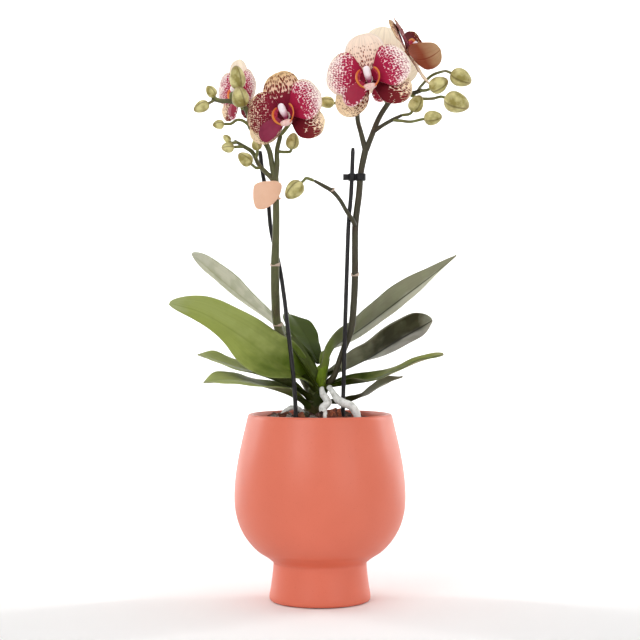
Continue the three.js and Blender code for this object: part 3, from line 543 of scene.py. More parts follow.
barks = [compostedPineBark("compostedPineBark-" + key, *barkValues[key]) for key in ("damp", "split",
                                                                                     "dry")]
makeBark(barks, feltedMoss())
print("bark made")


# Crown: the short mossy stem, the sheaths of old leaves (height, way it faces, length and green) and the
# clasping feet of the leaves (middle line, half widths and green)
crownValues = {
    "points": [[-7, 104, 1], [-6, 128, 0], [-3.5, 143, 0], [-0.8, 156, 0], [0.6, 164.5, 1]],
    "radii": [4.5, 6.2, 5.8, 4.4, 2],
    "moss": "#3A441A", "brown": "#54482A", "fresh": "#7E9A22",
    "sheaths": [(126, 200, 12, 2), (130, 20, 12, 2), (134, 190, 11, 3), (137, 330, 12, 3), (141, 160, 12,
                                                                                            2)],
    # The darkest green, #323C10, worn by the low feet and sheaths under the leaves, is partly painted shade
    "sheathGreens": ["#3E4A10", "#5F7510", "#4A4424", "#323C10"],
    "feet": [
        ([[-1, 149, -7], [-6, 157, -10.4], [-12, 167, -8.6], [-18, 177, 1], [-25, 186, 16]], (6.4, 6.6), 0),
        ([[1.2, 147, -4], [2.4, 152, -8], [3.6, 160, -9.4], [5.4, 169, -7.4]], (6.2, 5), 1),
        ([[-4, 146, -4.6], [-8, 151, -7.4], [-14, 156.4, -10]], (6.6, 6), 3),
        ([[1, 150, 2], [6, 157, 2.5], [14, 160.8, 5]], (6, 5.4), 3),
        ([[-1, 143, -2.4], [4, 148.4, -2], [12, 150, 0]], (6, 4.6), 0),
        ([[-6, 137, -1.6], [-11, 143, -3.4], [-18, 148, -4.4]], (6, 4.8), 3),
        ([[-7, 131, -3.4], [-12, 137.6, -5.4], [-19, 142, -8.4]], (6, 4.8), 3),
        ([[-3, 134, 2], [2, 138, 3.4], [9, 138.2, 5.6]], (5, 3), 3),
    ],
}


def mossyStemTissue():
    # A living stem: dark and mossy at the bark, fresh yellow-green where the leaves grow from it
    material, tree, shader = newMaterial("mossyStemTissue")
    v = crownValues
    place = add(tree, "TexCoord", {}, "Object")
    height = add(tree, "SeparateXYZ", {0: place}, "Z")
    patches = add(tree, "TexNoise", {"Vector": place, "Scale": perMm(4), "Detail": 5, "Roughness": 0.6})
    grain = add(tree, "TexNoise", {"Vector": place, "Scale": perMm(1), "Detail": 3})
    patchMask = add(tree, "MapRange", {"Value": patches, "From Min": 0.42, "From Max": 0.6})
    old = add(tree, "Mix", {0: patchMask, 6: v["moss"], 7: v["brown"]}, data_type="RGBA")
    young = add(tree, "MapRange", {"Value": height, "From Min": 0.143, "From Max": 0.158})
    colour = add(tree, "Mix", {0: young, 6: old, 7: v["fresh"]}, data_type="RGBA")
    both = add(tree, "Math", {0: patches, 1: grain}, operation="ADD")
    bump = add(tree, "Bump", {"Height": both, "Strength": 0.6, "Distance": 0.001})
    setInputs(tree, shader, {"Base Color": colour, "Roughness": 0.62, "Normal": bump})
    return material


def clasping(name, green):
    # A leaf's foot where it clasps the stem: firm and waxy, streaked along, with a few brown patches
    material, tree, shader = newMaterial(name)
    flat = add(tree, "TexCoord", {}, "UV")
    place = add(tree, "TexCoord", {}, "Object")
    streaks = streaksAlong(tree, flat, (18, 1.5), 3)
    patches = add(tree, "TexNoise", {"Vector": place, "Scale": perMm(5), "Detail": 3})
    lit = tinted(tree, green, streaks, 0.8, 1.15)
    stain = add(tree, "MapRange", {"Value": patches, "From Min": 0.56, "From Max": 0.7, "To Max": 0.4})
    colour = add(tree, "Mix", {0: stain, 6: lit, 7: "#3C3A1A"}, data_type="RGBA")
    bump = add(tree, "Bump", {"Height": streaks, "Strength": 0.25, "Distance": 0.0004})
    setInputs(tree, shader, {"Base Color": colour, "Roughness": 0.5, "Normal": bump, "IOR": 1.4,
                             "Specular IOR Level": 0.25})
    return material


def addSheath(bm, foot, facing, length, slotIndex):
    points = seenLine(crownValues["points"])
    low, high = points[0].z, points[-1].z

    def surface(u, v):
        height = foot + length * v
        share = (height - low) / (high - low)
        middle = curvePoint(points, share)
        spread = math.radians(lerp(150, 42, v ** 1.3))
        angle = math.radians(facing) + u * spread
        reach = listValue(crownValues["radii"], share) + 0.5 + 2.6 * v ** 2.5
        return Vector((middle.x + math.cos(angle) * reach, middle.y + math.sin(angle) * reach,
                       height - 2.2 * u * u * (1 - v)))

    addBlade(bm, surface, lambda u, v: 0.9 * (1 - 0.5 * u ** 4), 26, 12, slotIndex, slotIndex)


def addFoot(bm, line, halves, slotIndex):
    # The foot of a leaf: a channel that is wrapped round the stem below and opens into the blade
    points = seenLine(line)
    outward = points[-1] - points[0]
    level = Vector((outward.x, outward.y, 0)).cross(Vector((0, 0, 1))).normalized()

    def surface(u, v):
        along = curveTangent(points, v)
        inward = level.cross(along).normalized()
        wrap = lerp(1.5, 0.62, smoothstep(v, 0, 0.9))
        radius = lerp(*halves, v) / wrap
        softFold = 0.5 * math.sqrt(u * u + 0.01) * v
        return (curvePoint(points, v) + level * (radius * math.sin(u * wrap))
                + inward * (radius * (1 - math.cos(u * wrap)) + softFold))

    addBlade(bm, surface, lambda u, v: (1.7 - 0.8 * v) * (1 - 0.6 * u ** 4), 20, 24, slotIndex, slotIndex)


def makeSheaths():
    bm = bmesh.new()
    for sheath in crownValues["sheaths"]:
        addSheath(bm, *sheath)
    for foot in crownValues["feet"]:
        addFoot(bm, *foot)
    materials = [clasping("claspingLeafFoot-" + str(i), green)
                 for i, green in enumerate(crownValues["sheathGreens"])]
    makePiece("leafSheaths", bm, materials, ["crown"])


def makeCrown(material):
    points = seenLine(crownValues["points"])
    bm = bmesh.new()
    verts = addTube(bm, points, lambda share: listValue(crownValues["radii"], share), 32, 44)
    for vert in set(verts):
        ring = 0.35 * math.sin(vert.co.z * 1.5)
        vert.co += noise.noise_vector(vert.co * 0.28) * 0.8
        outward = Vector((vert.co.x + 4, vert.co.y, 0)).normalized()
        vert.co += outward * ring
    makePiece("crown", bm, [material], ["crown"])


makeCrown(mossyStemTissue())
makeSheaths()


# Aerial roots: thick and silvery, with knuckles where they turn
rootValues = {
    "root_front": {
        "points": [[1, 148.5, -6.8], [2.1, 144.2, -9.5], [5.4, 138.4, -13], [1.8, 134, -17.5],
                   [3.8, 129, -21], [5.6, 119, -23]],
        "radii": [1.9, 2.1, 2.9, 2.6, 2.6, 1.4]},
    "root_right": {
        "points": [[6.3, 149.5, -5.4], [10.5, 143, -12.5], [15.4, 138.2, -20], [21.7, 135.8, -22],
                   [25.2, 131.6, -24], [27.2, 118, -25]],
        "radii": [1.9, 2.3, 2.8, 3, 2.9, 1.4]},
    "root_left": {
        "points": [[-11.4, 131, -5], [-16, 134, -9], [-21, 134.4, -12], [-26, 130, -14], [-28, 119, -15]],
        "radii": [1.4, 1.7, 1.7, 1.6, 1]},
}
rootColours = {"silver": "#EAEAE6", "shade": "#BFC0BA", "stain": "#8A6A50"}


def silveryVelamen():
    # The dry spongy skin of an aerial root: chalky silver with grey-green patches, partly where it is thin
    # and partly painted shade, stained by the bark
    material, tree, shader = newMaterial("silveryVelamen")
    place = add(tree, "TexCoord", {}, "Object")
    patches = add(tree, "TexNoise", {"Vector": place, "Scale": perMm(3.2), "Detail": 4, "Roughness": 0.6})
    grain = add(tree, "TexNoise", {"Vector": place, "Scale": perMm(0.7), "Detail": 3})
    # Grey patches, partly painted shade
    shade = add(tree, "MapRange", {"Value": patches, "From Min": 0.45, "From Max": 0.65, "To Max": 0.8})
    dry = add(tree, "Mix", {0: shade, 6: rootColours["silver"], 7: rootColours["shade"]},
              data_type="RGBA")
    stains = add(tree, "TexNoise", {"Vector": place, "Scale": perMm(1.8), "Detail": 2})
    stainMask = add(tree, "MapRange", {"Value": stains, "From Min": 0.62, "From Max": 0.72, "To Max": 0.5})
    colour = add(tree, "Mix", {0: stainMask, 6: dry, 7: rootColours["stain"]}, data_type="RGBA")
    both = add(tree, "Math", {0: patches, 1: grain}, operation="ADD")
    bump = add(tree, "Bump", {"Height": both, "Strength": 0.5, "Distance": 0.0006})
    setInputs(tree, shader, {"Base Color": colour, "Roughness": 0.6, "Normal": bump})
    return material


def makeRoots(material):
    for node, shape in rootValues.items():
        points = seenLine(shape["points"])
        bm = bmesh.new()
        radii = shape["radii"]
        verts = addTube(bm, points, lambda share: listValue(radii, share), 28, 70)
        for vert in set(verts):
            vert.co += noise.noise_vector(vert.co * 0.25) * 0.45 + noise.noise_vector(vert.co * 1.1) * 0.1
        makePiece(node.replace("_", "-") + "-skin", bm, [material], [node])


makeRoots(silveryVelamen())
print("crown and roots made")


# Stakes and their clip
stakeValues = {
    "stake_left": [[-16.2, 82, -29.6], [-16.9, 129, -29.6], [-18.2, 152, -29.4], [-19.8, 167, -26.2],
                   [-21.2, 179, -21.2], [-23, 194, -14], [-24.9, 211, -7.2], [-28.3, 233, 1], [-34.3, 259,
                                                                                               1.5],
                   [-36.4, 280, 3.5], [-39.9, 297.5, 5], [-42, 314.3, 6]],
    "stake_right": [[16, 82, -14.5], [16.1, 134.5, -13.2], [16.4, 147, -13], [17.5, 189, -13.2],
                    [18.9, 234, -12], [20.1, 265.5, -10], [21.7, 284, -9], [23.1, 316.5, -8.5]],
}
stakeRadius = 1.5


def makeStakes(material):
    for node, places in stakeValues.items():
        points = seenLine(places)
        bm = bmesh.new()
        addTube(bm, points, lambda share: stakeRadius, 20, 90)
        makePiece(node.replace("_", "-") + "-rod", bm, [material], [node])


clipValues = {
    "stake": [22.2, 296, -8.9], "spike": [28.4, 296, -9], "stakeRing": (1.75, 2.7), "spikeRing": (2.5, 3.7),
    "height": 5, "gripTurn": 0.42,
}


def addRing(bm, middle, radii, height):
    # A ring with rounded edges round a stem: its section is turned about +Z
    inner, outer = radii
    half, soft = height / 2, min(0.35, (outer - inner) * 0.35)
    section = [(inner, -half + soft), (inner + soft, -half), (outer - soft, -half), (outer, -half + soft),
               (outer, half - soft), (outer - soft, half), (inner + soft, half), (inner, half - soft)]
    before = set(bm.faces)
    spinOutline(bm, section, 36, closed=True)
    faces = [face for face in bm.faces if face not in before]
    bmesh.ops.recalc_face_normals(bm, faces=faces)
    ringVerts = list({vert for face in faces for vert in face.verts})
    bmesh.ops.translate(bm, vec=middle, verts=ringVerts)


def addRoundedBox(bm, size, place, soft=0.3):
    verts = bmesh.ops.create_cube(bm, size=1)["verts"]
    bmesh.ops.scale(bm, vec=size, verts=verts)
    edges = list({edge for vert in verts for edge in vert.link_edges})
    bevelled = bmesh.ops.bevel(bm, geom=edges, offset=soft, offset_type="OFFSET", segments=3, profile=0.5,
                               affect="EDGES", material=-1)
    moved = list({vert for face in bevelled["faces"] for vert in face.verts}
                 | {vert for vert in verts if vert.is_valid})
    bmesh.ops.transform(bm, matrix=place, verts=moved)


def makeClip(material):
    v = clipValues
    stakeAt, spikeAt = seenAt(v["stake"]), seenAt(v["spike"])
    bm = bmesh.new()
    addRing(bm, stakeAt, v["stakeRing"], v["height"])
    addRing(bm, spikeAt, v["spikeRing"], v["height"])
    for sign in (1, -1):
        turn = Matrix.Rotation(sign * v["gripTurn"], 4, "Z")
        place = Matrix.Translation(stakeAt) @ turn @ Matrix.Translation((-4.4, 0, 0))
        addRoundedBox(bm, (4.2, 0.9, v["height"] * 0.8), place)
        for rib in range(3):
            along = Matrix.Translation((-4.6 - rib * 0.7, sign * 0.45, 0))
            place = Matrix.Translation(stakeAt) @ turn @ along
            addRoundedBox(bm, (0.3, 0.4, v["height"] * 0.7), place, 0.1)
    middle = (stakeAt + spikeAt) / 2
    addRoundedBox(bm, (1.2, 3, v["height"] * 0.8), Matrix.Translation(middle - Vector((0.6, 0, 0))))
    makePiece("stake-clip", bm, [material], ["stake_clip"], sharpAngle=40)


makeStakes(mouldedPolypropylene("extrudedPolypropylene", "#141113", 0.42, 0.6))
makeClip(mouldedPolypropylene("mouldedPolypropyleneSatin", "#0F0D0F", 0.4, 0.4))
print("stakes and clip made")


# Leaves: the middle line from the crown to the tip, the half width, the roll at the base and the tip, the
# fold along the midrib at the base and the blade, the bluntness of the tip, and the look. An uneven leaf has
# shares of its half width on its left or right, from base to tip.
leafValues = {
    "leaf_left_upper": {
        "line": [[-3.6, 156.5, 6.4], [-13, 170, 18], [-22, 182.5, 26], [-34, 195.5, 32], [-55, 213, 38],
                 [-74, 229, 40], [-89.6, 242.5, 41]],
        "half": 18, "roll": [-14, -34], "fold": [45, 9], "base": 0.26, "widest": 0.62, "tip": 0.7,
        "look": "mottled"},
    "leaf_left_broad": {
        "line": [[-6.2, 150.6, -6.1], [-17, 158.4, -10.5], [-32, 166.5, -12], [-47.6, 178.6, -12],
                 [-64.4, 190, -12], [-84, 201, -13], [-105.6, 207.5, -14]],
        "half": 22.5, "roll": [46, 44], "fold": [40, 7],
        "base": 0.24, "widest": 0.36, "tip": 0.5, "look": "bright",
        "left": [1, 1, 1, 1.06, 1, 0.72, 0.62, 0.66, 0.8]},
    "leaf_back": {
        "line": [[-1.6, 165.4, 5.6], [-4.4, 172.5, 10.6], [-7.6, 180, 19.4], [-12, 187.5, 29.4],
                 [-16.5, 194.3, 41], [-21, 199.8, 53]],
        "half": 14.5, "roll": [-6, -12], "fold": [34, 10],
        "base": 0.3, "widest": 0.5, "tip": 0.5, "look": "deep",
        "left": [1, 0.94, 0.93, 0.93, 1, 1], "right": [1, 0.62, 0.6, 0.8, 0.9, 1]},
    "leaf_left_lower": {
        "line": [[-10.2, 143, -2], [-21, 149.6, -4], [-40.6, 157.3, -8], [-61.6, 163.4, -12],
                 [-75.6, 168.6, -14], [-85.6, 171.5, -15]],
        "half": 17, "roll": [6, 13], "fold": [36, 10],
        "base": 0.26, "widest": 0.55, "tip": 0.65, "look": "plain"},
    "leaf_left_lowest": {
        "line": [[-10.8, 137.5, -3.6], [-22.4, 144, -9], [-38.5, 149.3, -17], [-56, 153.2, -26],
                 [-70, 153.6, -32], [-81.4, 152, -36]],
        "half": 17, "roll": [8, 15], "fold": [36, 8],
        "base": 0.26, "widest": 0.5, "tip": 0.75, "look": "plain"},
    "leaf_right_upper": {
        "line": [[3.6, 152.5, -8.2], [4.6, 163, -7.8], [7, 172, -4.6], [12, 179.2, 2], [21.8, 185.6, 11.5],
                 [32.8, 193.2, 19], [45.8, 203, 25], [59.8, 213.6, 28], [75.8, 225.6, 30], [95.5, 241.2,
                                                                                            32]],
        "half": 16.5, "roll": [48, 36], "fold": [44, 13],
        "base": 0.25, "widest": 0.55, "tip": 0.72, "look": "grey",
        "left": [1, 1, 1.05, 1.25, 1.2, 1.05, 1, 1, 1]},
    "leaf_right_middle": {
        "line": [[4.1, 156.6, 3.3], [19.4, 162.2, 7], [33.6, 169.4, 10], [54, 182, 13], [69, 190.5, 15],
                 [78.6, 196, 16]],
        "half": 21, "roll": [12, 46], "fold": [46, 13],
        "base": 0.23, "widest": 0.5, "tip": 0.5, "look": "shadow",
        "right": [1, 1, 1, 0.95, 0.85, 0.85]},
    "leaf_right_lower": {
        "line": [[3.6, 148.8, 0.3], [21, 151.4, 1], [38.5, 154.4, -2], [56, 161.6, -5], [70, 167.6, -7],
                 [86.4, 171.8, -9]],
        "half": 16, "roll": [-4, -13], "fold": [38, 8],
        "base": 0.26, "widest": 0.45, "tip": 0.8, "look": "vivid"},
    "leaf_right_lowest": {
        "line": [[2, 138.4, 3.7], [15.5, 138, 7], [25.9, 141.4, 10], [35, 146.4, 13], [45.5, 152.3, 15],
                 [57.8, 156.2, 16]],
        "half": 9.5, "roll": [16, 24], "fold": [36, 8],
        "base": 0.28, "widest": 0.55, "tip": 0.75, "look": "dull"},
}
leafThickness = 1.4
# Each look's upper and under colours are a pair for the two halves of the folded blade, which may differ:
# painted light and shade across the fold. The rib colour and ribShade paint shade into the crease along the
# midrib, over its thin dark line.
leafLooks = {
    "mottled": {"upper": ["#8C946A", "#7A8454"], "under": ["#C4C4AE", "#B2B498"], "base": "#4C5A22",
                "rib": "#83885F", "ribShade": 0.4, "blotch": "#8A9068", "blotches": 0.35, "tip": "#B6B7A4"},
    "grey": {"upper": ["#6E7848", "#646E40"], "under": ["#BAB9A2", "#8C8B71"], "base": "#66742F",
             "rim": 0.5,
             "rib": "#34361C", "ribShade": 0.95, "blotch": "#999D7C", "blotches": 0.35, "tip": "#93937A"},
    "bright": {"upper": ["#8E984C", "#949D58"], "under": ["#9A9E78", "#9A9E78"], "base": "#46580E",
               "rib": "#75803A", "ribShade": 0.4, "blotch": "#7C883F", "blotches": 0.2, "tip": "#A0A676"},
    # deep: darker greens for leaf_back, the leaf that stands in shadow behind the others, partly painted
    # shade
    "deep": {"upper": ["#46551A", "#3F4C18"], "under": ["#4C5428", "#4C5428"], "base": "#2F3C0C",
             "rib": "#34400F", "ribShade": 0.3, "blotch": "#3A4714", "blotches": 0.4, "tip": "#52601E"},
    "plain": {"upper": ["#98A160", "#A0A866"], "under": ["#9EA27A", "#9EA27A"], "base": "#5E6A2C",
              "rib": "#7E8852", "ribShade": 0.5, "blotch": "#8A9360", "blotches": 0.35, "tip": "#A6A984"},
    "shadow": {"upper": ["#4A4E2C", "#4A4E2C"], "under": ["#8A897E", "#302E18"], "base": "#A3A288",
               "rim": 0.8,
               "rib": "#1A1806", "ribShade": 0.95, "blotch": "#55543A", "blotches": 0.3, "tip": "#A2A18C"},
    "vivid": {"upper": ["#959B56", "#525F22"], "under": ["#868256", "#868256"], "base": "#2F4006",
              "rib": "#4A561E", "ribShade": 0.6, "blotch": "#7A8242", "blotches": 0.4, "tip": "#B0A888"},
    "dull": {"upper": ["#6A6C48", "#6A6C48"], "under": ["#78765A", "#5C5C42"], "base": "#353C1A",
             "rib": "#44482A", "ribShade": 0.6, "blotch": "#54563A", "blotches": 0.4, "tip": "#75735A"},
}


def leatheryLeaf(name, halves, look, gloss):
    # A thick waxy leaf: satin, soft blotches of green, faint veins along it, a sunken midrib darkened by
    # painted shade in its crease over a thin dark line, a thin pale rim, and painted light and shade on the
    # two halves of its fold
    material, tree, shader = newMaterial(name)
    place = add(tree, "TexCoord", {}, "Object")
    flat = add(tree, "TexCoord", {}, "UV")
    across, along = (add(tree, "SeparateXYZ", {0: flat}, axis) for axis in "XY")
    fromRib = fromMiddle(tree, across)
    clouds = add(tree, "TexNoise", {"Vector": place, "Scale": perMm(16), "Detail": 3})
    cells = add(tree, "TexNoise", {"Vector": place, "Scale": perMm(1.2), "Detail": 2})
    veins = streaksAlong(tree, flat, (26, 1.4), 3, 0.6)
    drift = add(tree, "MapRange", {"Value": clouds, "From Min": 0.3, "From Max": 0.7, "To Min": -0.12,
                                   "To Max": 0.12})
    drifted = add(tree, "Math", {0: across, 1: drift}, operation="ADD")
    # Painted light and shade: each half of the blade across the midrib gets its own green
    half = add(tree, "MapRange", {"Value": drifted, "From Min": 0.3, "From Max": 0.62},
               interpolation_type="SMOOTHSTEP")
    green = add(tree, "Mix", {0: half, 6: halves[0], 7: halves[1]}, data_type="RGBA")
    blotches = add(tree, "TexNoise", {"Vector": place, "Scale": perMm(11), "Detail": 2, "Roughness": 0.4})
    blotchMask = add(tree, "MapRange", {"Value": blotches, "From Min": 0.46, "From Max": 0.62,
                                        "To Max": look["blotches"]}, interpolation_type="SMOOTHSTEP")
    green = add(tree, "Mix", {0: blotchMask, 6: green, 7: look["blotch"]}, data_type="RGBA")
    length = add(tree, "Math", {0: along, 1: drift}, operation="ADD")
    nearTip = add(tree, "MapRange", {"Value": length, "From Min": 0.78, "From Max": 1, "To Max": 0.8})
    green = add(tree, "Mix", {0: nearTip, 6: green, 7: look["tip"]}, data_type="RGBA")
    outward = add(tree, "MapRange", {"Value": length, "From Min": 0.04, "From Max": 0.52},
                  interpolation_type="SMOOTHSTEP")
    green = add(tree, "Mix", {0: outward, 6: look["base"], 7: green}, data_type="RGBA")
    green = tinted(tree, green, veins, 0.95, 1.04)
    # Painted shade in the crease along the midrib, over its thin dark line
    ribCreaseShade = add(tree, "MapRange", {"Value": fromRib, "From Min": 0.004, "From Max": 0.045,
                                     "To Min": look["ribShade"], "To Max": 0},
                                     interpolation_type="SMOOTHSTEP")
    green = add(tree, "Mix", {0: ribCreaseShade, 6: green, 7: look["rib"]}, data_type="RGBA")
    edgeMask = add(tree, "MapRange", {"Value": fromRib, "From Min": 0.465, "From Max": 0.5,
                                      "To Max": look.get("rim", 0.2)})
    colour = add(tree, "Mix", {0: edgeMask, 6: green, 7: look["tip"]}, data_type="RGBA")
    relief = add(tree, "Math", {0: veins, 1: 0.5}, operation="MULTIPLY")
    fine = add(tree, "Math", {0: cells, 1: 0.25, 2: relief}, operation="MULTIPLY_ADD")
    bump = add(tree, "Bump", {"Height": fine, "Strength": 0.25, "Distance": 0.0006})
    rough = add(tree, "MapRange", {"Value": clouds, "To Min": gloss - 0.05, "To Max": gloss + 0.08})
    setInputs(tree, shader, {"Base Color": colour, "Roughness": rough, "Normal": bump, "IOR": 1.42,
                             "Specular IOR Level": 0.12})
    return material


def bladeWidth(v, base, widest, tipShape, tip=0.5):
    # Share of the half width at v: from the narrow base to the widest place and a more or less blunt tip
    if v < widest:
        return base + (1 - base) * math.sin(v / widest * math.pi / 2) ** 1.4
    beyond = (v - widest) / (1 - widest) * 0.996
    return (1 - beyond ** tipShape) ** tip


def sideShare(values, v):
    return curvePoint([Vector((i, value, 0)) for i, value in enumerate(values)], v).y


def leafSurface(shape):
    points = seenLine(shape["line"])
    up = Vector((0, 0, 1))
    shares = {-1: shape.get("left", [1, 1]), 1: shape.get("right", [1, 1])}

    def surface(u, t):
        v = 1 - (1 - t) ** 1.35
        along = curveTangent(points, v)
        level = along.cross(up).normalized()
        above = level.cross(along)
        turn = math.radians(lerp(*shape["roll"], v))
        side = level * math.cos(turn) + above * math.sin(turn)
        face = side.cross(along)
        opening = smoothstep(v, 0.05, 0.5)
        bend = math.radians(lerp(*shape["fold"], opening))
        reach = shape["half"] * bladeWidth(v, shape["base"], shape["widest"], 2, shape["tip"])
        reach *= sideShare(shares[-1 if u < 0 else 1], v)
        wave = 0.9 * math.sin(v * 9 + u) * u * u * opening
        ripple = 0.35 * math.sin(v * 23 + 2 * u) * abs(u) ** 3 * opening
        softFold = math.sqrt(u * u + 0.004) - 0.06  # the midrib is a rounded channel
        height = softFold * reach * math.sin(bend) + wave + ripple
        return curvePoint(points, v) + side * (u * reach * math.cos(bend)) + face * height

    return surface


def makeLeaves():
    looks = {}
    for key, look in leafLooks.items():
        looks[key] = [
            leatheryLeaf("leatheryLeafUpper-" + key, look["upper"], look, 0.42),
            leatheryLeaf("leatheryLeafUnder-" + key, look["under"], look, 0.5),
        ]
    for node, shape in leafValues.items():
        bm = bmesh.new()
        thickness = lambda u, v: leafThickness * (1 - 0.6 * u ** 4) * (1 - 0.45 * v ** 6)
        addBlade(bm, leafSurface(shape), thickness, 24, 72, 0, 1)
        makePiece(node.replace("_", "-") + "-blade", bm, looks[shape["look"]], [node])


makeLeaves()
print("leaves made")


# Flower spikes: stems, nodes with their papery bracts, branches, stalks and buds
spikeValues = {
    "spike_left": {
        "root": [[-3.5, 141, 1.5]],
        "stem": [[-7.7, 147, 4.8], [-12, 155, 9], [-19, 169, 9.5], [-29.4, 191, 5.5], [-31.2, 212, -1],
                 [-31.5, 234, -5.5], [-30.8, 259, -7.5], [-30.8, 280, -8.5], [-31.5, 296.5, -9]],
        "stemRadii": [1.9, 2.6, 3, 3.1, 3.1, 3, 2.5, 2.4, 2.6],
        "collars": [([-29.6, 192, 5.2], 3.1), ([-31.5, 234, -5.5], 3)],
        "branches": [
            ([[-31.5, 294, -9], [-33.6, 304.5, -9], [-35.7, 315, -9], [-40.6, 323.4, -9],
              [-48.3, 330.8, -11], [-50, 340, -14], [-54, 346, -16], [-62.3, 349, -17], [-69, 349.3, -17],
              [-76, 350.6, -17]], [2.3, 2, 1.9, 2.1, 2.2, 1.9, 1.8, 1.7, 1.6, 1.2]),
            ([[-31.5, 294, -9], [-30.1, 304.5, -9.5], [-30, 315, -10], [-27.6, 325.5, -12]],
             [2.3, 1.9, 1.7, 1.6]),
            ([[-31.5, 293, -9], [-37, 298.5, -9.5], [-42.7, 304.5, -10], [-47.4, 313.5, -12],
              [-53.1, 317.4, -13], [-60.2, 321.6, -14]], [2, 1.7, 1.5, 1.5, 1.4, 1]),
        ],
        "buds": [
            ([[-74, 350, -17]], [-83, 345.2, -17], [-0.9, -0.45, 0], [11.5, 8.6]),
            ([[-48.3, 331, -11], [-54, 335.5, -13], [-58.1, 336, -14], [-62.3, 333.4, -16]],
             [-71, 332.8, -17.5], [-1, -0.1, -0.2], [8, 7]),
            ([[-69, 349.3, -17]], [-76.3, 356, -18], [-0.55, 0.8, 0], [9, 7.6]),
            ([[-54, 346, -16]], [-56, 352.2, -25], [-0.1, 0.75, -0.6], [15, 12.4]),
            ([[-62.3, 349, -17], [-62, 354.5, -18]], [-58, 365.6, -24.5], [-0.1, 0.95, -0.3], [16, 11.6]),
            ([[-58, 320.4, -13.6]], [-65.2, 323, -15], [-0.7, 0.7, 0], [6.4, 5.2]),
            ([[-53.1, 317.4, -13]], [-64.6, 316.8, -18], [-0.9, -0.1, -0.4], [9, 7.8]),
            ([[-41.5, 303, -10], [-44.5, 302.4, -13]], [-52.4, 308.6, -17], [-0.75, 0.6, -0.2], [11.4,
                                                                                                 9.6]),
            ([[-45, 309, -11]], [-44.4, 319, -16.5], [-0.1, 1, -0.3], [8.6, 7.4]),
            ([[-30, 314, -10], [-24.5, 313.6, -11.5]], [-19.2, 321.2, -12.5], [0.2, 1, 0], [11.5, 9.8]),
        ],
    },
    "spike_right": {
        "root": [[1.5, 147.5, 0], [5, 151.5, -3]],
        "stem": [[9.6, 156.4, -6.2], [13, 166, -8], [17.6, 178, -8.5], [21.8, 190, -8.5], [23.8, 210, -8],
                 [24.5, 227, -8], [24.5, 246.5, -8.5], [24.8, 263, -9], [27.3, 284, -9], [28.7, 299.6, -9],
                 [32, 316, -9]],
        "stemRadii": [1.5, 1.9, 2.3, 2.4, 2.4, 2.4, 2.3, 2.3, 2.3, 2.2, 2.4],
        "collars": [([24.5, 227, -8], 2.4), ([8.4, 286.3, -16], 1.4)],
        "branches": [
            ([[24.8, 261, -9], [23, 265.5, -13.4], [18.9, 271.6, -15], [14, 280, -15.5],
              [8.4, 286.3, -16], [2.1, 290.1, -17], [-4.2, 293.6, -18]], [1.7, 1.6, 1.4, 1.4, 1.5, 1.4, 1]),
            ([[32, 314, -9], [28.7, 326.9, -9], [26.4, 336, -9], [26.6, 347, -10]], [2.1, 1.8, 1.7, 1.6]),
            ([[32, 314, -9], [36.4, 325.5, -8], [40.6, 336, -8], [45.5, 344.4, -8], [51, 351, -8],
              [60, 353.6, -9], [66, 355, -10], [72, 357, -11]], [2.1, 2, 1.9, 1.9, 1.9, 1.8, 1.6, 1.3]),
            ([[37, 327.5, -8], [44, 332.3, -10], [50.5, 336, -12], [57.5, 339.5, -13]], [1.6, 1.4, 1.4,
                                                                                         1.1]),
        ],
        "buds": [
            ([[-4.2, 293.6, -18], [-9.8, 295.2, -18]], [-18, 287, -18], [-0.7, -0.7, 0], [15, 12.4]),
            ([[26.4, 348.5, -10.5], [18, 347.5, -10]], [4.4, 348.4, -10], [-1, 0.1, 0], [11.4, 8.6]),
            ([[57, 339.3, -13]], [67.3, 347.4, -14.5], [0.5, 0.85, -0.1], [12.5, 11]),
            ([[50.5, 336, -12], [57, 335.4, -14], [63.5, 334.8, -15]], [79, 337.6, -16.5], [1, 0.15, 0],
             [12.6, 10.6]),
            ([[70, 356.4, -12]], [83, 360.8, -14.5], [0.8, 0.35, -0.3], [14, 12]),
            ([[62, 354, -9.3], [70, 351.2, -13], [79, 351, -14]], [95.6, 348.4, -14.5], [0.9, -0.35, -0.1],
             [18, 15.4]),
            ([[68, 355.4, -10], [71, 360, 2], [78, 367, 6], [86, 370, -2]], [98.6, 365.6, -13.5],
             [0.85, -0.4, 0], [15.5, 13]),
        ],
    },
}
spikeLooks = {
    "spike_left": {"stem": "#626439", "dark": "#3A3A20", "stain": "#4A3C28"},
    "spike_right": {"stem": "#454128", "dark": "#2A2416", "stain": "#342214"},
}
# light is the pale of the bud's patches, partly a painted highlight
budColours = {"skin": "#8F8340", "light": "#D0C78A", "dark": "#5E4E22", "blush": "#74482A"}


def greenStemSkin(name, look):
    # The skin of a flower stem: fine streaks along it, a dull wax bloom, brown stains in patches
    material, tree, shader = newMaterial(name)
    place = add(tree, "TexCoord", {}, "Object")
    drawn = add(tree, "Mapping", {"Vector": place, "Scale": (1, 1, 0.12)})
    streaks = add(tree, "TexNoise", {"Vector": drawn, "Scale": perMm(0.9), "Detail": 3})
    patches = add(tree, "TexNoise", {"Vector": place, "Scale": perMm(14), "Detail": 3})
    green = add(tree, "Mix", {0: streaks, 6: look["dark"], 7: look["stem"]}, data_type="RGBA")
    stain = add(tree, "MapRange", {"Value": patches, "From Min": 0.5, "From Max": 0.7, "To Max": 0.7})
    colour = add(tree, "Mix", {0: stain, 6: green, 7: look["stain"]}, data_type="RGBA")
    bump = add(tree, "Bump", {"Height": streaks, "Strength": 0.3, "Distance": 0.0003})
    setInputs(tree, shader, {"Base Color": colour, "Roughness": 0.5, "Normal": bump, "IOR": 1.45})
    return material


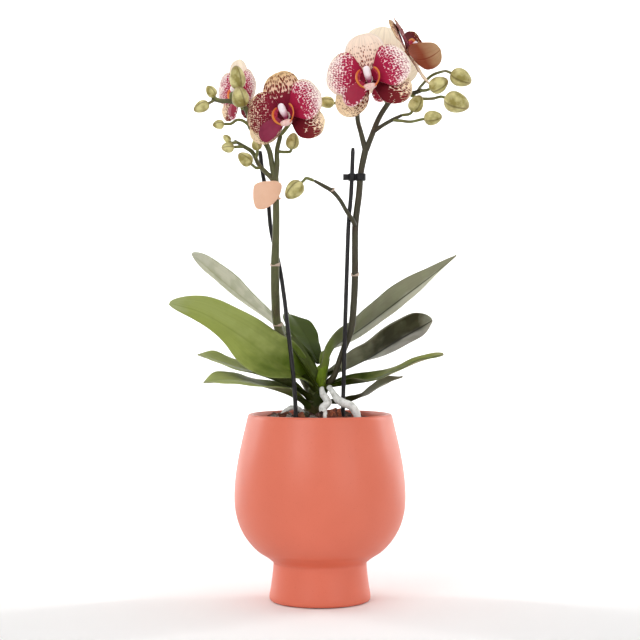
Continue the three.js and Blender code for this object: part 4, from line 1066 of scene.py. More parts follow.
def dryBract(name, colour, tip):
    # The dry bract at a node: thin, pale and papery, streaked darker along its fibres
    material, tree, shader = newMaterial(name)
    flat = add(tree, "TexCoord", {}, "UV")
    fibres = streaksAlong(tree, flat, (22, 1.5), 3)
    paper = add(tree, "Mix", {0: fibres, 6: tip, 7: colour}, data_type="RGBA")
    bump = add(tree, "Bump", {"Height": fibres, "Strength": 0.4, "Distance": 0.0002})
    setInputs(tree, shader, {"Base Color": paper, "Roughness": 0.7, "Normal": bump})
    return material


def budSkin():
    # A closed bud: firm waxy skin with pale patches that are partly painted highlight, darker along its three
    # seams and blushed towards its tip
    material, tree, shader = newMaterial("budSkin")
    place = add(tree, "TexCoord", {}, "Object")
    flat = add(tree, "TexCoord", {}, "UV")
    around, along = (add(tree, "SeparateXYZ", {0: flat}, axis) for axis in "XY")
    patches = add(tree, "TexNoise", {"Vector": place, "Scale": perMm(6), "Detail": 3})
    fine = add(tree, "TexNoise", {"Vector": place, "Scale": perMm(1.1), "Detail": 3})
    seams = add(tree, "Math", {0: around, 1: 3.0}, operation="MULTIPLY")
    seams = add(tree, "Math", {0: seams, 1: 0.5}, operation="PINGPONG")
    seamMask = add(tree, "MapRange", {"Value": seams, "From Min": 0.0, "From Max": 0.1, "To Min": 0.7,
                                      "To Max": 0}, interpolation_type="SMOOTHSTEP")
    # Pale patches: partly painted highlight
    pale = add(tree, "MapRange", {"Value": patches, "From Min": 0.38, "From Max": 0.62})
    skin = add(tree, "Mix", {0: pale, 6: budColours["skin"], 7: budColours["light"]},
               data_type="RGBA")
    seamed = add(tree, "Mix", {0: seamMask, 6: skin, 7: budColours["dark"]}, data_type="RGBA")
    tip = add(tree, "MapRange", {"Value": along, "From Min": 0.7, "From Max": 1, "To Max": 0.55})
    colour = add(tree, "Mix", {0: tip, 6: seamed, 7: budColours["blush"]}, data_type="RGBA")
    bump = add(tree, "Bump", {"Height": fine, "Strength": 0.2, "Distance": 0.0003})
    setInputs(tree, shader, {"Base Color": colour, "Roughness": 0.42, "Normal": bump, "IOR": 1.45,
                             "Subsurface Weight": 0.1, "Subsurface Radius": (0.002, 0.003, 0.001),
                             "Subsurface Scale": 0.5})
    return material


def viewDirection(place):
    x, z, depth = place
    return Vector((x, depth, z)).normalized()


def addBud(bm, centre, axis, size, slotIndex):
    length, width = size
    bm.loops.layers.uv.verify()
    verts = bmesh.ops.create_uvsphere(bm, u_segments=36, v_segments=22, radius=1, calc_uvs=True)["verts"]
    for vert in verts:
        height = vert.co.z
        turn = math.atan2(vert.co.y, vert.co.x)
        seam = math.cos(3 * turn / 2) ** 2
        radius = 0.49 * math.sqrt(max(1 - height * height, 0)) * (1 - 0.18 * height)
        radius *= 1 - 0.09 * (1 - seam) ** 6 * (1 - height * height)
        point = 1 + 0.04 * max(height, 0) ** 6
        vert.co = Vector((math.cos(turn) * radius * width, math.sin(turn) * radius * width,
                          0.5 * height * length * point))
    turn = Vector((0, 0, 1)).rotation_difference(axis).to_matrix().to_4x4()
    bmesh.ops.transform(bm, matrix=Matrix.Translation(centre) @ turn, verts=verts)
    for face in facesOf(verts):
        face.material_index = slotIndex


def addTwig(bm, points, startRadius, endRadius, slotIndex):
    steps = max(10, 5 * len(points))
    addTube(bm, points, lambda share: lerp(startRadius, endRadius, share), 12, steps, slotIndex)


def addBract(bm, middle, axis, radius, height, facing, slotIndex):
    # A scale that wraps a stem at a node, with a pointed end that stands off a little
    turn = Vector((0, 0, 1)).rotation_difference(axis).to_matrix()
    ahead = turn @ Matrix.Rotation(facing, 3, "Z") @ Vector((1, 0, 0))
    side = axis.cross(ahead)

    def surface(u, v):
        spread = math.radians(165) * (1 - v ** 2.2 * 0.9)
        angle = u * spread
        reach = radius + 0.2 + 0.5 * v * v
        around = middle + ahead * (math.cos(angle) * reach) + side * (math.sin(angle) * reach)
        return around + axis * (height * v)

    addBlade(bm, surface, lambda u, v: 0.4 * (1 - 0.5 * v), 20, 8, slotIndex, slotIndex)


def addNode(bm, points, share, radius, facing, height):
    middle = curvePoint(points, share)
    axis = curveTangent(points, share)
    ring = [middle - axis * 0.6, middle - axis * 0.2, middle + axis * 0.2, middle + axis * 0.6]
    addTube(bm, ring, lambda part: radius + 0.3 * math.sin(part * math.pi), 24, 6, 1)
    addBract(bm, middle, axis, radius, height, facing, 1)


def spikeBuds(bm, shape):
    for route, at, towards, size in shape["buds"]:
        centre, axis = seenAt(at), viewDirection(towards)
        addBud(bm, centre, axis, size, 2)
        ends = [centre + axis * (share * size[0]) for share in (-0.62, -0.3)]
        addTwig(bm, [*seenLine(route), *ends], 1.15, 0.95, 3)


# Flowers: the spike that carries each one, the way of its stalk, its middle, the way it faces, its roll, size
# and lip, its two lower sepals, how far each tepal closes in degrees, and its colouring
flowerValues = {
    "flower_right": {
        "spike": "spike_right", "stalk": [[26.6, 347, -10], [27.5, 354, -13]], "at": [34.6, 364.7, -29],
        "yaw": -10, "pitch": 5, "roll": 10, "size": 1, "lip": -126, "lipRise": 0, "sepals": [-30, -140],
        "close": [2, 2, 2, 2, 2], "back": "cream",
        "faces": ["petalBright", "petalBright", "upperTan", "lowerMaroon", "lowerTan"], "flecked": True},
    "flower_right_rear": {
        "spike": "spike_right", "stalk": [[47, 346.5, -8], [44.5, 356, 4]], "at": [41.3, 371.4, 27],
        "yaw": 172, "pitch": 4, "roll": 8, "size": 0.95, "lip": -90, "lipRise": 0, "sepals": [-42, -138],
        "close": [6, 6, 6, 6, 6], "back": "cream",
        "faces": ["petalBright", "petalBright", "upperTan", "lowerMaroon", "lowerTan"], "flecked": True},
    "flower_right_top": {
        "spike": "spike_right", "stalk": [[56, 353, -8.5], [50.5, 362, -10], [51, 374, -12]],
        "at": [61.4, 383.4, -11.6], "yaw": 76, "pitch": 25, "roll": 66, "size": 0.88, "lip": -24,
        "lipRise": 26,
        "upper": 74, "sepals": [-42, -138], "close": [3, 26, 12, 4, 60], "back": "tan",
        "faces": ["petalShadedDark", "petalShadedDark", "upperMaroon", "lowerSolid", "lowerCream"], "flecked": False},
    "flower_left": {
        "spike": "spike_left", "stalk": [[-27.6, 325.5, -12], [-22.5, 332, -15]], "at": [-22.8, 339.1, -30],
        "yaw": -22, "pitch": 5, "roll": 14, "size": 0.97, "lip": -130, "lipRise": 0, "sepals": [-34, -165],
        "close": [6, 8, 10, 10, 6], "back": "sand",
        "faces": ["petalBright", "petalShadedDark", "upperMaroon", "lowerMaroon", "lowerTan"], "flecked": False},
    "flower_left_rear": {
        "spike": "spike_left", "stalk": [[-40.6, 323.4, -9], [-41, 329, 0], [-43.5, 339, 10], [-47.5, 349,
                                                                                               14]],
        "at": [-56, 354, 6], "yaw": -50, "pitch": 0, "roll": 0, "size": 0.76, "lip": -90, "lipRise": 0,
        "sepals": [-42, -138], "close": [8, 8, 8, 8, 8], "back": "cream",
        "faces": ["petalBright", "petalBright", "upperPale", "lowerMaroon", "lowerMaroon"],
        "flecked": True},
}
halfSpan = 30
hubFront = 1.9
hubBack = -2.5
tepalStart = 1.7
petalAngle = 14
tepalThickness = 0.8
tepalShapes = {
    "upperSepal": {"length": 1.08, "width": 0.94, "layer": -0.7, "base": 0.17, "widest": 0.54},
    "lowerSepal": {"length": 1.02, "width": 0.76, "layer": -0.7, "base": 0.2, "widest": 0.53},
    "petal": {"length": 1, "width": 1.14, "layer": 0.9, "base": 0.15, "widest": 0.54, "lipSide": 0.76},
}


def flowerFrame(flower):
    turn, rise = math.radians(flower["yaw"]), math.radians(flower["pitch"])
    facing = Vector((math.sin(turn) * math.cos(rise), -math.cos(turn) * math.cos(rise), math.sin(rise)))
    right = Vector((0, 0, 1)).cross(facing).normalized()
    above = facing.cross(right)
    turned = Matrix((right, above, facing)).transposed().to_4x4() @ Matrix.Rotation(
        math.radians(flower["roll"]), 4, "Z")
    return Matrix.Translation(seenAt(flower["at"])) @ turned @ Matrix.Scale(flower["size"], 4)


def flowerStalk(bm, flower):
    place = flowerFrame(flower)
    axis = (place.to_3x3() @ Vector((0, 0, 1))).normalized()
    end = place.translation + axis * (hubBack * flower["size"] - 0.3)
    points = [*seenLine(flower["stalk"]), end - axis * 5, end]
    addTwig(bm, points, 1.5, 1.45, 3)


def makeSpikes():
    bud = budSkin()
    twigSkin = greenStemSkin("greenTwigSkin", {"stem": "#7C8048", "dark": "#5C5E34", "stain": "#5E4E36"})
    bractSkin = dryBract("dryPaperyBract", "#D2BEAC", "#9C8270")
    for node, shape in spikeValues.items():
        look = spikeLooks[node]
        bm = bmesh.new()
        stem = seenLine(shape["stem"])
        radii = shape["stemRadii"]
        root = seenLine(shape["root"])
        addTube(bm, [*root, *stem[:2]], lambda share: lerp(2.6, radii[1], share), 20, 24, 0)
        addTube(bm, stem, lambda share: listValue(radii, share), 24, 110)
        for points, branchRadii in shape["branches"]:
            route = seenLine(points)
            addTube(bm, route, lambda share: listValue(branchRadii, share), 18, 10 * len(points))
        for at, radius in shape["collars"]:
            place = [seenAt([at[0], at[1] + lift, at[2]]) for lift in (-2, 0, 4)]
            addNode(bm, place, 0.5, radius, 1.2, 2.6)
        spikeBuds(bm, shape)
        for flower in flowerValues.values():
            if flower["spike"] == node:
                flowerStalk(bm, flower)
        materials = [greenStemSkin("greenStemSkin-" + node, look), bractSkin, bud, twigSkin]
        makePiece(node.replace("_", "-") + "-stems", bm, materials, [node])


makeSpikes()
print("spikes made")


# How each kind of tepal is coloured: where its solid foot ends, where its spots end, how wide the spots are
# there against their spacing, how much they shrink towards the sides, and how far they lean to the lip's side
tepalFaces = {
    "petalBright": {
        "rows": 31, "bands": 15, "solid": 0.36, "ends": 0.96,
        "near": 0.68, "half": 0.54, "far": 0.24, "sides": 0.2,
        "lean": 0, "inner": "#8E1434", "middle": "#AD2044", "outer": "#A4224C",
        "pink": "#F8D6DC", "ground": "#FBEDE4", "margin": "#F6E4CB"},
    # A darker copy of the bright petal face for petals turned from the light: partly painted shade
    "petalShadedDark": {
        "rows": 33, "bands": 18, "solid": 0.32, "ends": 0.98,
        "near": 0.74, "half": 0.64, "far": 0.46, "sides": 0.1,
        "lean": 0, "inner": "#5E0C20", "middle": "#841C32", "outer": "#6E2026",
        "pink": "#F0C6BE", "ground": "#EBCFAE", "margin": "#E4C393"},
    "upperTan": {
        "rows": 19, "bands": 9, "solid": 0.14, "ends": 0.74,
        "near": 0.5, "half": 0.3, "far": 0.16, "sides": 0.18,
        "lean": 0, "inner": "#7A1230", "middle": "#8A3A34", "outer": "#94583E",
        "pink": "#F1CBB8", "ground": "#F4DECB", "margin": "#FAEADF"},
    "upperMaroon": {
        "rows": 19, "bands": 9, "solid": 0.4, "ends": 0.96,
        "near": 0.64, "half": 0.46, "far": 0.3, "sides": 0.06,
        "lean": 0, "inner": "#6A0E26", "middle": "#7E1A2E", "outer": "#74381F",
        "pink": "#EFC6B8", "ground": "#DFBB8C", "margin": "#D8B27E"},
    "upperPale": {
        "rows": 15, "bands": 12, "solid": 0.05, "ends": 0.6,
        "near": 0.4, "half": 0.24, "far": 0.12, "sides": 0.2,
        "lean": 0, "inner": "#9A2448", "middle": "#B04A68", "outer": "#B8607A",
        "pink": "#F6D9D4", "ground": "#F4E3CC", "margin": "#F2DCD0"},
    # Its dark maroon inner half, on the lip's side, is partly painted shade beside the lip
    "lowerMaroon": {
        "rows": 20, "bands": 10, "solid": 0.42, "ends": 0.97,
        "near": 0.72, "half": 0.54, "far": 0.32, "sides": 0.02,
        "lean": 0.3, "inner": "#4E0A14", "middle": "#640F1C", "outer": "#7C2A2A",
        "pink": "#F1CDBE", "ground": "#F2D9B6", "margin": "#F2DDB8"},
    "lowerTan": {
        "rows": 17, "bands": 11, "solid": 0.2, "ends": 0.95,
        "near": 0.48, "half": 0.32, "far": 0.18, "sides": 0.06,
        "lean": 0.1, "inner": "#6A1224", "middle": "#7E2C2A", "outer": "#855034",
        "pink": "#F0D0B8", "ground": "#EFD6B2", "margin": "#EBD0A6"},
    "lowerCream": {
        "rows": 15, "bands": 10, "solid": 0.02, "ends": 0.4,
        "near": 0.5, "half": 0.3, "far": 0.1, "sides": 0.2,
        "lean": 0, "inner": "#7C3020", "middle": "#A2603E", "outer": "#B88258",
        "pink": "#EBCBA8", "ground": "#F3DEC2", "margin": "#F5DCC4"},
    "lowerSolid": {
        "rows": 16, "bands": 14, "solid": 0.8, "ends": 1,
        "near": 0.7, "half": 0.6, "far": 0.4, "sides": 0.1,
        "lean": 0.1, "inner": "#4E0A14", "middle": "#5E161A", "outer": "#6E2A1E",
        "pink": "#D8A888", "ground": "#C89F74", "margin": "#BC9468"},
}
tepalBacks = {
    "cream": {"back": "#FBEED8", "foot": "#EBC9B8", "from": 0.1, "to": 0.75, "rib": 0.1},
    "sand": {"back": "#E2C79C", "foot": "#B87A62", "from": 0.1, "to": 0.75, "rib": 0.15},
    "tan": {"back": "#B8906A", "foot": "#8E3F28", "from": 0.6, "to": 0.9, "rib": 0.8},
}


def lengthShare(tree, along):
    # The tepals' UV map runs faster at the tip, so its sine is the share of their length
    quarter = add(tree, "Math", {0: along, 1: math.pi / 2}, operation="MULTIPLY")
    return add(tree, "Math", {0: quarter}, operation="SINE")


def spottedPetal(name, v):
    # The face of a tepal: velvety, dark at its foot, breaking into rows of spots on a creamy ground
    material, tree, shader = newMaterial(name)
    place = add(tree, "TexCoord", {}, "Object")
    flat = add(tree, "TexCoord", {}, "UV")
    across, along = (add(tree, "SeparateXYZ", {0: flat}, axis) for axis in "XY")
    along = lengthShare(tree, along)
    edge = fromMiddle(tree, across)
    outward = add(tree, "MapRange", {"Value": along, "From Min": 0.2, "From Max": 0.6})
    turning = v["solid"] + 0.2
    reach = add(tree, "MapRange", {"Value": along, "From Min": v["solid"], "From Max": turning,
                                   "To Min": v["near"], "To Max": v["half"]})
    thinner = add(tree, "MapRange", {"Value": along, "From Min": min(turning, v["ends"] - 0.01),
                                     "From Max": v["ends"], "To Max": v["half"] - v["far"]})
    reach = add(tree, "Math", {0: reach, 1: thinner}, operation="SUBTRACT")
    whole = add(tree, "MapRange", {"Value": along, "From Min": v["solid"] - 0.14,
                                   "From Max": v["solid"] + 0.02,
                                   "To Min": 0.5, "To Max": 0})
    reach = add(tree, "Math", {0: reach, 1: whole}, operation="ADD")
    sides = add(tree, "MapRange", {"Value": edge, "From Min": 0.26, "From Max": 0.48, "To Max": v["sides"]})
    lean = add(tree, "MapRange", {"Value": across, "To Min": v["lean"], "To Max": -v["lean"]})
    shift = add(tree, "Math", {0: lean, 1: sides}, operation="SUBTRACT")
    reach = add(tree, "Math", {0: shift, 1: outward, 2: reach}, operation="MULTIPLY_ADD")
    blur = add(tree, "TexNoise", {"Vector": place, "Scale": perMm(4), "Detail": 2})
    wander = add(tree, "MapRange", {"Value": blur, "From Min": 0.3, "From Max": 0.7, "To Min": -0.12,
                                    "To Max": 0.12})
    reach = add(tree, "Math", {0: reach, 1: wander}, operation="ADD")
    last = add(tree, "MapRange", {"Value": along, "From Min": v["ends"], "From Max": v["ends"] + 0.05,
                                  "To Max": 0.6})
    reach = add(tree, "Math", {0: reach, 1: last}, operation="SUBTRACT")
    even = add(tree, "CombineXYZ", {0: across, 1: along})
    rows = add(tree, "Mapping", {"Vector": even, "Scale": (v["rows"], v["bands"], 1)})
    distance = add(tree, "TexVoronoi", {"Vector": rows, "Scale": 1.0, "Randomness": 0.62},
                   voronoi_dimensions="2D")
    over = add(tree, "Math", {0: reach, 1: distance}, operation="SUBTRACT")
    spots = add(tree, "MapRange", {"Value": over, "From Min": -0.05, "From Max": 0.05})
    toMiddle = add(tree, "MapRange", {"Value": along, "From Min": 0.12, "From Max": 0.45})
    ink = add(tree, "Mix", {0: toMiddle, 6: v["inner"], 7: v["middle"]}, data_type="RGBA")
    toRim = add(tree, "MapRange", {"Value": along, "From Min": v["solid"], "From Max": 0.92})
    ink = add(tree, "Mix", {0: toRim, 6: ink, 7: v["outer"]}, data_type="RGBA")
    ground = add(tree, "Mix", {0: toRim, 6: v["pink"], 7: v["ground"]}, data_type="RGBA")
    rim = add(tree, "MapRange", {"Value": edge, "From Min": 0.42, "From Max": 0.49})
    rim = add(tree, "Math", {0: rim, 1: outward}, operation="MULTIPLY")
    ground = add(tree, "Mix", {0: rim, 6: ground, 7: v["margin"]}, data_type="RGBA")
    colour = add(tree, "Mix", {0: spots, 6: ground, 7: ink}, data_type="RGBA")
    veins = streaksAlong(tree, flat, (34, 2.5), 2)
    colour = tinted(tree, colour, veins, 0.88, 1.06)
    velvet = add(tree, "TexNoise", {"Vector": place, "Scale": perMm(0.5), "Detail": 2})
    height = add(tree, "Math", {0: velvet, 1: 0.3, 2: veins}, operation="MULTIPLY_ADD")
    bump = add(tree, "Bump", {"Height": height, "Strength": 0.3, "Distance": 0.0004})
    setInputs(tree, shader, {"Base Color": colour, "Roughness": 0.6, "Normal": bump, "IOR": 1.4,
                             "Specular IOR Level": 0.1})
    return material


def petalBack(name, look):
    # The back of a tepal: plain, with faint veins, a darker foot that shows through, and a red line along it
    material, tree, shader = newMaterial(name)
    flat = add(tree, "TexCoord", {}, "UV")
    place = add(tree, "TexCoord", {}, "Object")
    across, along = (add(tree, "SeparateXYZ", {0: flat}, axis) for axis in "XY")
    along = lengthShare(tree, along)
    veins = streaksAlong(tree, flat, (22, 2), 3)
    clouds = add(tree, "TexNoise", {"Vector": place, "Scale": perMm(9), "Detail": 3})
    wander = add(tree, "MapRange", {"Value": clouds, "To Min": -0.14, "To Max": 0.14})
    length = add(tree, "Math", {0: along, 1: wander}, operation="ADD")
    through = add(tree, "MapRange", {"Value": length, "From Min": look["from"], "From Max": look["to"],
                                     "To Min": 0.95, "To Max": 0})
    base = add(tree, "Mix", {0: through, 6: look["back"], 7: look["foot"]}, data_type="RGBA")
    edge = fromMiddle(tree, across)
    line = add(tree, "MapRange", {"Value": edge, "From Min": 0.005, "From Max": 0.03, "To Min": look["rib"],
                                  "To Max": 0})
    base = add(tree, "Mix", {0: line, 6: base, 7: "#7A2A1C"}, data_type="RGBA")
    colour = tinted(tree, base, veins, 0.92, 1.05)
    rough = add(tree, "MapRange", {"Value": clouds, "To Min": 0.5, "To Max": 0.64})
    bump = add(tree, "Bump", {"Height": veins, "Strength": 0.3, "Distance": 0.0004})
    setInputs(tree, shader, {"Base Color": colour, "Roughness": rough, "Normal": bump, "IOR": 1.4,
                             "Specular IOR Level": 0.25})
    return material


def addTepal(bm, kind, angle, close, faceSlot):
    shape = tepalShapes[kind]
    turn = math.radians(angle)
    along = Vector((math.cos(turn), math.sin(turn), 0))
    side = Vector((-math.sin(turn), math.cos(turn), 0))
    tilt = math.radians(close)

    def surface(u, t):
        v = math.sin(t * math.pi / 2)
        reach = lerp(tepalStart, shape["length"] * halfSpan, v)
        share = shape.get("lipSide", 1) if (u < 0) == (angle < 90) else 1
        half = 0.5 * shape["width"] * halfSpan * bladeWidth(v, shape["base"], shape["widest"], 2.2) * share
        lift = tilt * v ** 1.4
        arch = 1.2 * math.sin(v * math.pi) - 2 * v * v
        wave = 0.7 * math.sin(v * 7 + angle) * u * u * v
        frill = 0.28 * math.sin(v * 24 + angle * 2 + u) * abs(u) ** 3 * v
        channel = -0.35 * math.exp(-(u / 0.12) ** 2) * math.sin(v * math.pi)
        trough = 0.05 * half * u * u
        flat = along * (reach * math.cos(lift)) + side * (u * half)
        height = shape["layer"] + reach * math.sin(lift) + arch + wave + trough + frill + channel
        return flat + Vector((0, 0, height))

    thickness = lambda u, v: tepalThickness * (1 - 0.55 * u ** 4) * (1 - 0.4 * v ** 6)
    addBlade(bm, surface, thickness, 26, 30, 5, faceSlot)


def makeTepals(node, flower, materials):
    bm = bmesh.new()
    close = flower["close"]
    addTepal(bm, "upperSepal", flower.get("upper", 90), close[0], 2)
    addTepal(bm, "lowerSepal", flower["sepals"][0], close[1], 3)
    flipFrom = len(bm.faces)
    addTepal(bm, "lowerSepal", flower["sepals"][1], close[2], 4)
    bm.faces.ensure_lookup_table()
    uvLayer = bm.loops.layers.uv.verify()
    # The darker half on the lip's side of the lower sepals is partly painted shade beside the lip
    for face in bm.faces[flipFrom:]:
        for loop in face.loops:
            loop[uvLayer].uv.x = 1 - loop[uvLayer].uv.x  # the darker half is on the lip's side of both
    addTepal(bm, "petal", petalAngle, close[3], 0)
    addTepal(bm, "petal", 180 - petalAngle, close[4], 1)
    hub = [Vector((0, 0, hubBack)), Vector((0, 0, -0.6)), Vector((0, 0, hubFront))]
    hubVerts = addTube(bm, hub, lambda share: lerp(1.9, 3, share), 24, 6, 5)
    for face in facesOf(set(hubVerts)):
        if face.calc_center_median().z > -0.4:
            face.material_index = 0
    bmesh.ops.transform(bm, matrix=flowerFrame(flower), verts=bm.verts)
    makePiece(node.replace("_", "-") + "-petals", bm, materials, [node + "_tepals"])


lipValues = {
    "lobeRadius": 6.3, "lobeStart": 128, "lobeEnd": 248, "tongueStart": 5, "tongueLength": 19,
    "tongueHalfWidth": 7, "orange": "#EE7434", "yellow": "#F2A24A",
    "pale": "#F4D2D6", "crest": "#EDC6BE",
}


def lobeTissue():
    # The side lobes: glossy, striped magenta inside, with an orange rim
    material, tree, shader = newMaterial("lobeTissue")
    v = lipValues
    flat = add(tree, "TexCoord", {}, "UV")
    across, along = (add(tree, "SeparateXYZ", {0: flat}, axis) for axis in "XY")
    stripes = streaksAlong(tree, flat, (9, 1.2), 2)
    stripeMask = add(tree, "MapRange", {"Value": stripes, "From Min": 0.42, "From Max": 0.58})
    inside = add(tree, "Mix", {0: stripeMask, 6: "#D2486A", 7: "#B4262E"}, data_type="RGBA")
    rimMask = add(tree, "MapRange", {"Value": along, "From Min": 0.62, "From Max": 0.74})
    rimTone = add(tree, "Mix", {0: across, 6: v["orange"], 7: v["yellow"]}, data_type="RGBA")
    colour = add(tree, "Mix", {0: rimMask, 6: inside, 7: rimTone}, data_type="RGBA")
    bump = add(tree, "Bump", {"Height": stripes, "Strength": 0.2, "Distance": 0.0002})
    setInputs(tree, shader, {"Base Color": colour, "Roughness": 0.35, "Normal": bump, "IOR": 1.42})
    return material


def tongueTissue(name, solid, deep, bright):
    # The tongue of the lip: velvety magenta that breaks into pale flecks at its edge
    material, tree, shader = newMaterial(name)
    v = lipValues
    flat = add(tree, "TexCoord", {}, "UV")
    place = add(tree, "TexCoord", {}, "Object")
    across, along = (add(tree, "SeparateXYZ", {0: flat}, axis) for axis in "XY")
    edge = fromMiddle(tree, across)
    level = add(tree, "MapRange", {"Value": edge, "From Min": 0.3, "From Max": 0.5, "To Min": solid,
                                   "To Max": solid - 0.6})
    fade = add(tree, "MapRange", {"Value": along, "From Min": 0.55, "From Max": 1, "To Max": 0.6})
    level = add(tree, "Math", {0: level, 1: fade}, operation="SUBTRACT")
    rows = add(tree, "Mapping", {"Vector": flat, "Scale": (9, 11, 1)})
    distance = add(tree, "TexVoronoi", {"Vector": rows, "Scale": 1.0}, voronoi_dimensions="2D")
    over = add(tree, "Math", {0: level, 1: distance}, operation="SUBTRACT")
    spots = add(tree, "MapRange", {"Value": over, "From Min": -0.05, "From Max": 0.05})
    dusk = add(tree, "TexNoise", {"Vector": place, "Scale": perMm(6), "Detail": 2})
    ink = add(tree, "Mix", {0: dusk, 6: deep, 7: bright}, data_type="RGBA")
    colour = add(tree, "Mix", {0: spots, 6: v["pale"], 7: ink}, data_type="RGBA")
    velvet = add(tree, "TexNoise", {"Vector": place, "Scale": perMm(0.6), "Detail": 2})
    bump = add(tree, "Bump", {"Height": velvet, "Strength": 0.25, "Distance": 0.0003})
    setInputs(tree, shader, {"Base Color": colour, "Roughness": 0.5, "Normal": bump, "IOR": 1.42,
                             "Specular IOR Level": 0.3})
    return material


def crestTissue():
    # The fleshy crest between the lobes: pale, waxy, with small red dots
    material, tree, shader = newMaterial("crestTissue")
    place = add(tree, "TexCoord", {}, "Object")
    dots = add(tree, "TexVoronoi", {"Vector": place, "Scale": perMm(1.3)})
    mask = add(tree, "MapRange", {"Value": dots, "From Min": 0.18, "From Max": 0.26, "To Min": 0.75,
                                  "To Max": 0})
    colour = add(tree, "Mix", {0: mask, 6: lipValues["crest"], 7: "#B03A4C"},
                 data_type="RGBA")
    bump = add(tree, "Bump", {"Height": dots, "Strength": 0.2, "Distance": 0.0002})
    setInputs(tree, shader, {"Base Color": colour, "Roughness": 0.35, "Normal": bump, "IOR": 1.42})
    return material


def makeLip(node, flower, materials):
    v = lipValues
    bm = bmesh.new()

    def lobeSurface(mirror):
        def surface(u, w):
            share = (u * mirror + 1) / 2
            angle = math.radians(lerp(v["lobeStart"], v["lobeEnd"], share))
            radius = v["lobeRadius"] + 1.9 * w
            height = 5.2 * (1 - 0.5 * (2 * abs(share - 0.55)) ** 2.5)
            return Vector((mirror * radius * math.cos(angle), radius * math.sin(angle), 3.6 + height * w))
        return surface

    lobeThickness = lambda u, w: 0.7 + 0.5 * smoothstep(w, 0.6, 0.85) * (1 - w)
    for mirror in (1, -1):
        addBlade(bm, lobeSurface(mirror), lobeThickness, 30, 14, 0, 0)
    turn = math.radians(flower["lip"] - flower["roll"])
    along = Vector((math.cos(turn), math.sin(turn), 0))
    side = Vector((-math.sin(turn), math.cos(turn), 0))
    rise = math.tan(math.radians(flower["lipRise"]))

    def tongueSurface(u, w):
        broadening = 0.48 + 0.52 * math.sin(min(w * 1.5, 1) * math.pi / 2)
        half = v["tongueHalfWidth"] * broadening * math.sqrt(max(1 - 0.985 * w ** 5, 0))
        keel = 0.5 * math.exp(-(u / 0.2) ** 2) * math.sin(w * math.pi)
        frill = 0.25 * math.sin(w * 17 + u) * abs(u) ** 3
        sweep = 5 + 4.4 * math.sin(w * 2.4) + v["tongueLength"] * w * rise
        height = sweep - 0.1 * half * u * u + keel + frill
        return along * (v["tongueStart"] + v["tongueLength"] * w) + side * (u * half) + Vector((0, 0,
                                                                                                height))

    addBlade(bm, tongueSurface, lambda u, w: 0.9 * (1 - 0.4 * abs(u) ** 4), 22, 30, 1, 1)
    crest = bmesh.ops.create_icosphere(bm, subdivisions=4, radius=1)["verts"]
    for vert in crest:
        split = 0.55 * math.exp(-(vert.co.x / 0.22) ** 2) * max(vert.co.z, 0)
        vert.co.z -= split
    bmesh.ops.scale(bm, vec=(4.8, 2.3, 2.5), verts=crest)
    bmesh.ops.translate(bm, vec=(0, -6.5, 5.6), verts=crest)
    for face in facesOf(crest):
        face.material_index = 2
    bmesh.ops.transform(bm, matrix=flowerFrame(flower), verts=bm.verts)
    makePiece(node.replace("_", "-") + "-lip", bm, materials, [node + "_lip"])


columnValues = {
    "points": [[0, -1.6, 2.4], [0, -1.2, 3.6], [0, 1.2, 6.2], [0, 4.4, 8.6], [0, 6.4, 9.4]],
    "radii": [1.7, 2, 2.5, 2.5, 1.1], "pale": "#F3E6EA", "mauve": "#B8648C", "foot": "#8C1C4A",
}


def columnTissue():
    # The column: smooth waxy tissue, white to pale pink at its cap, mauve lower down and magenta at its foot;
    # the mauve is partly painted shade under the cap
    material, tree, shader = newMaterial("columnTissue")
    v = columnValues
    flat = add(tree, "TexCoord", {}, "UV")
    place = add(tree, "TexCoord", {}, "Object")
    along = add(tree, "SeparateXYZ", {0: flat}, "Y")
    clouds = add(tree, "TexNoise", {"Vector": place, "Scale": perMm(2), "Detail": 2})
    wander = add(tree, "MapRange", {"Value": clouds, "To Min": -0.12, "To Max": 0.12})
    height = add(tree, "Math", {0: along, 1: wander}, operation="ADD")
    upper = add(tree, "MapRange", {"Value": height, "From Min": 0.3, "From Max": 0.6})
    # Darker towards the foot: partly painted shade
    lower = add(tree, "Mix", {0: height, 6: v["foot"], 7: v["mauve"]}, data_type="RGBA")
    colour = add(tree, "Mix", {0: upper, 6: lower, 7: v["pale"]}, data_type="RGBA")
    bump = add(tree, "Bump", {"Height": clouds, "Strength": 0.15, "Distance": 0.0002})
    setInputs(tree, shader, {"Base Color": colour, "Roughness": 0.32, "Normal": bump, "IOR": 1.42})
    return material


def makeColumn(node, flower, material):
    points = [Vector(point) for point in columnValues["points"]]
    bm = bmesh.new()
    radii = columnValues["radii"]
    addTube(bm, points, lambda share: listValue(radii, share), 28, 30)
    foot = bmesh.ops.create_icosphere(bm, subdivisions=3, radius=1)["verts"]
    bmesh.ops.scale(bm, vec=(1.3, 1.5, 1), verts=foot)
    bmesh.ops.translate(bm, vec=(0, -3.3, 3.7), verts=foot)
    cap = bmesh.ops.create_uvsphere(bm, u_segments=24, v_segments=16, radius=1)["verts"]
    bmesh.ops.scale(bm, vec=(2.3, 2.2, 1.7), verts=cap)
    bmesh.ops.translate(bm, vec=(0, 4.8, 9.1), verts=cap)
    uvLayer = bm.loops.layers.uv.verify()
    for face in facesOf(cap):
        for loop in face.loops:
            loop[uvLayer].uv = (0.5, 0.95)
    bmesh.ops.transform(bm, matrix=flowerFrame(flower), verts=bm.verts)
    makePiece(node.replace("_", "-") + "-column", bm, [material], [node + "_column"])


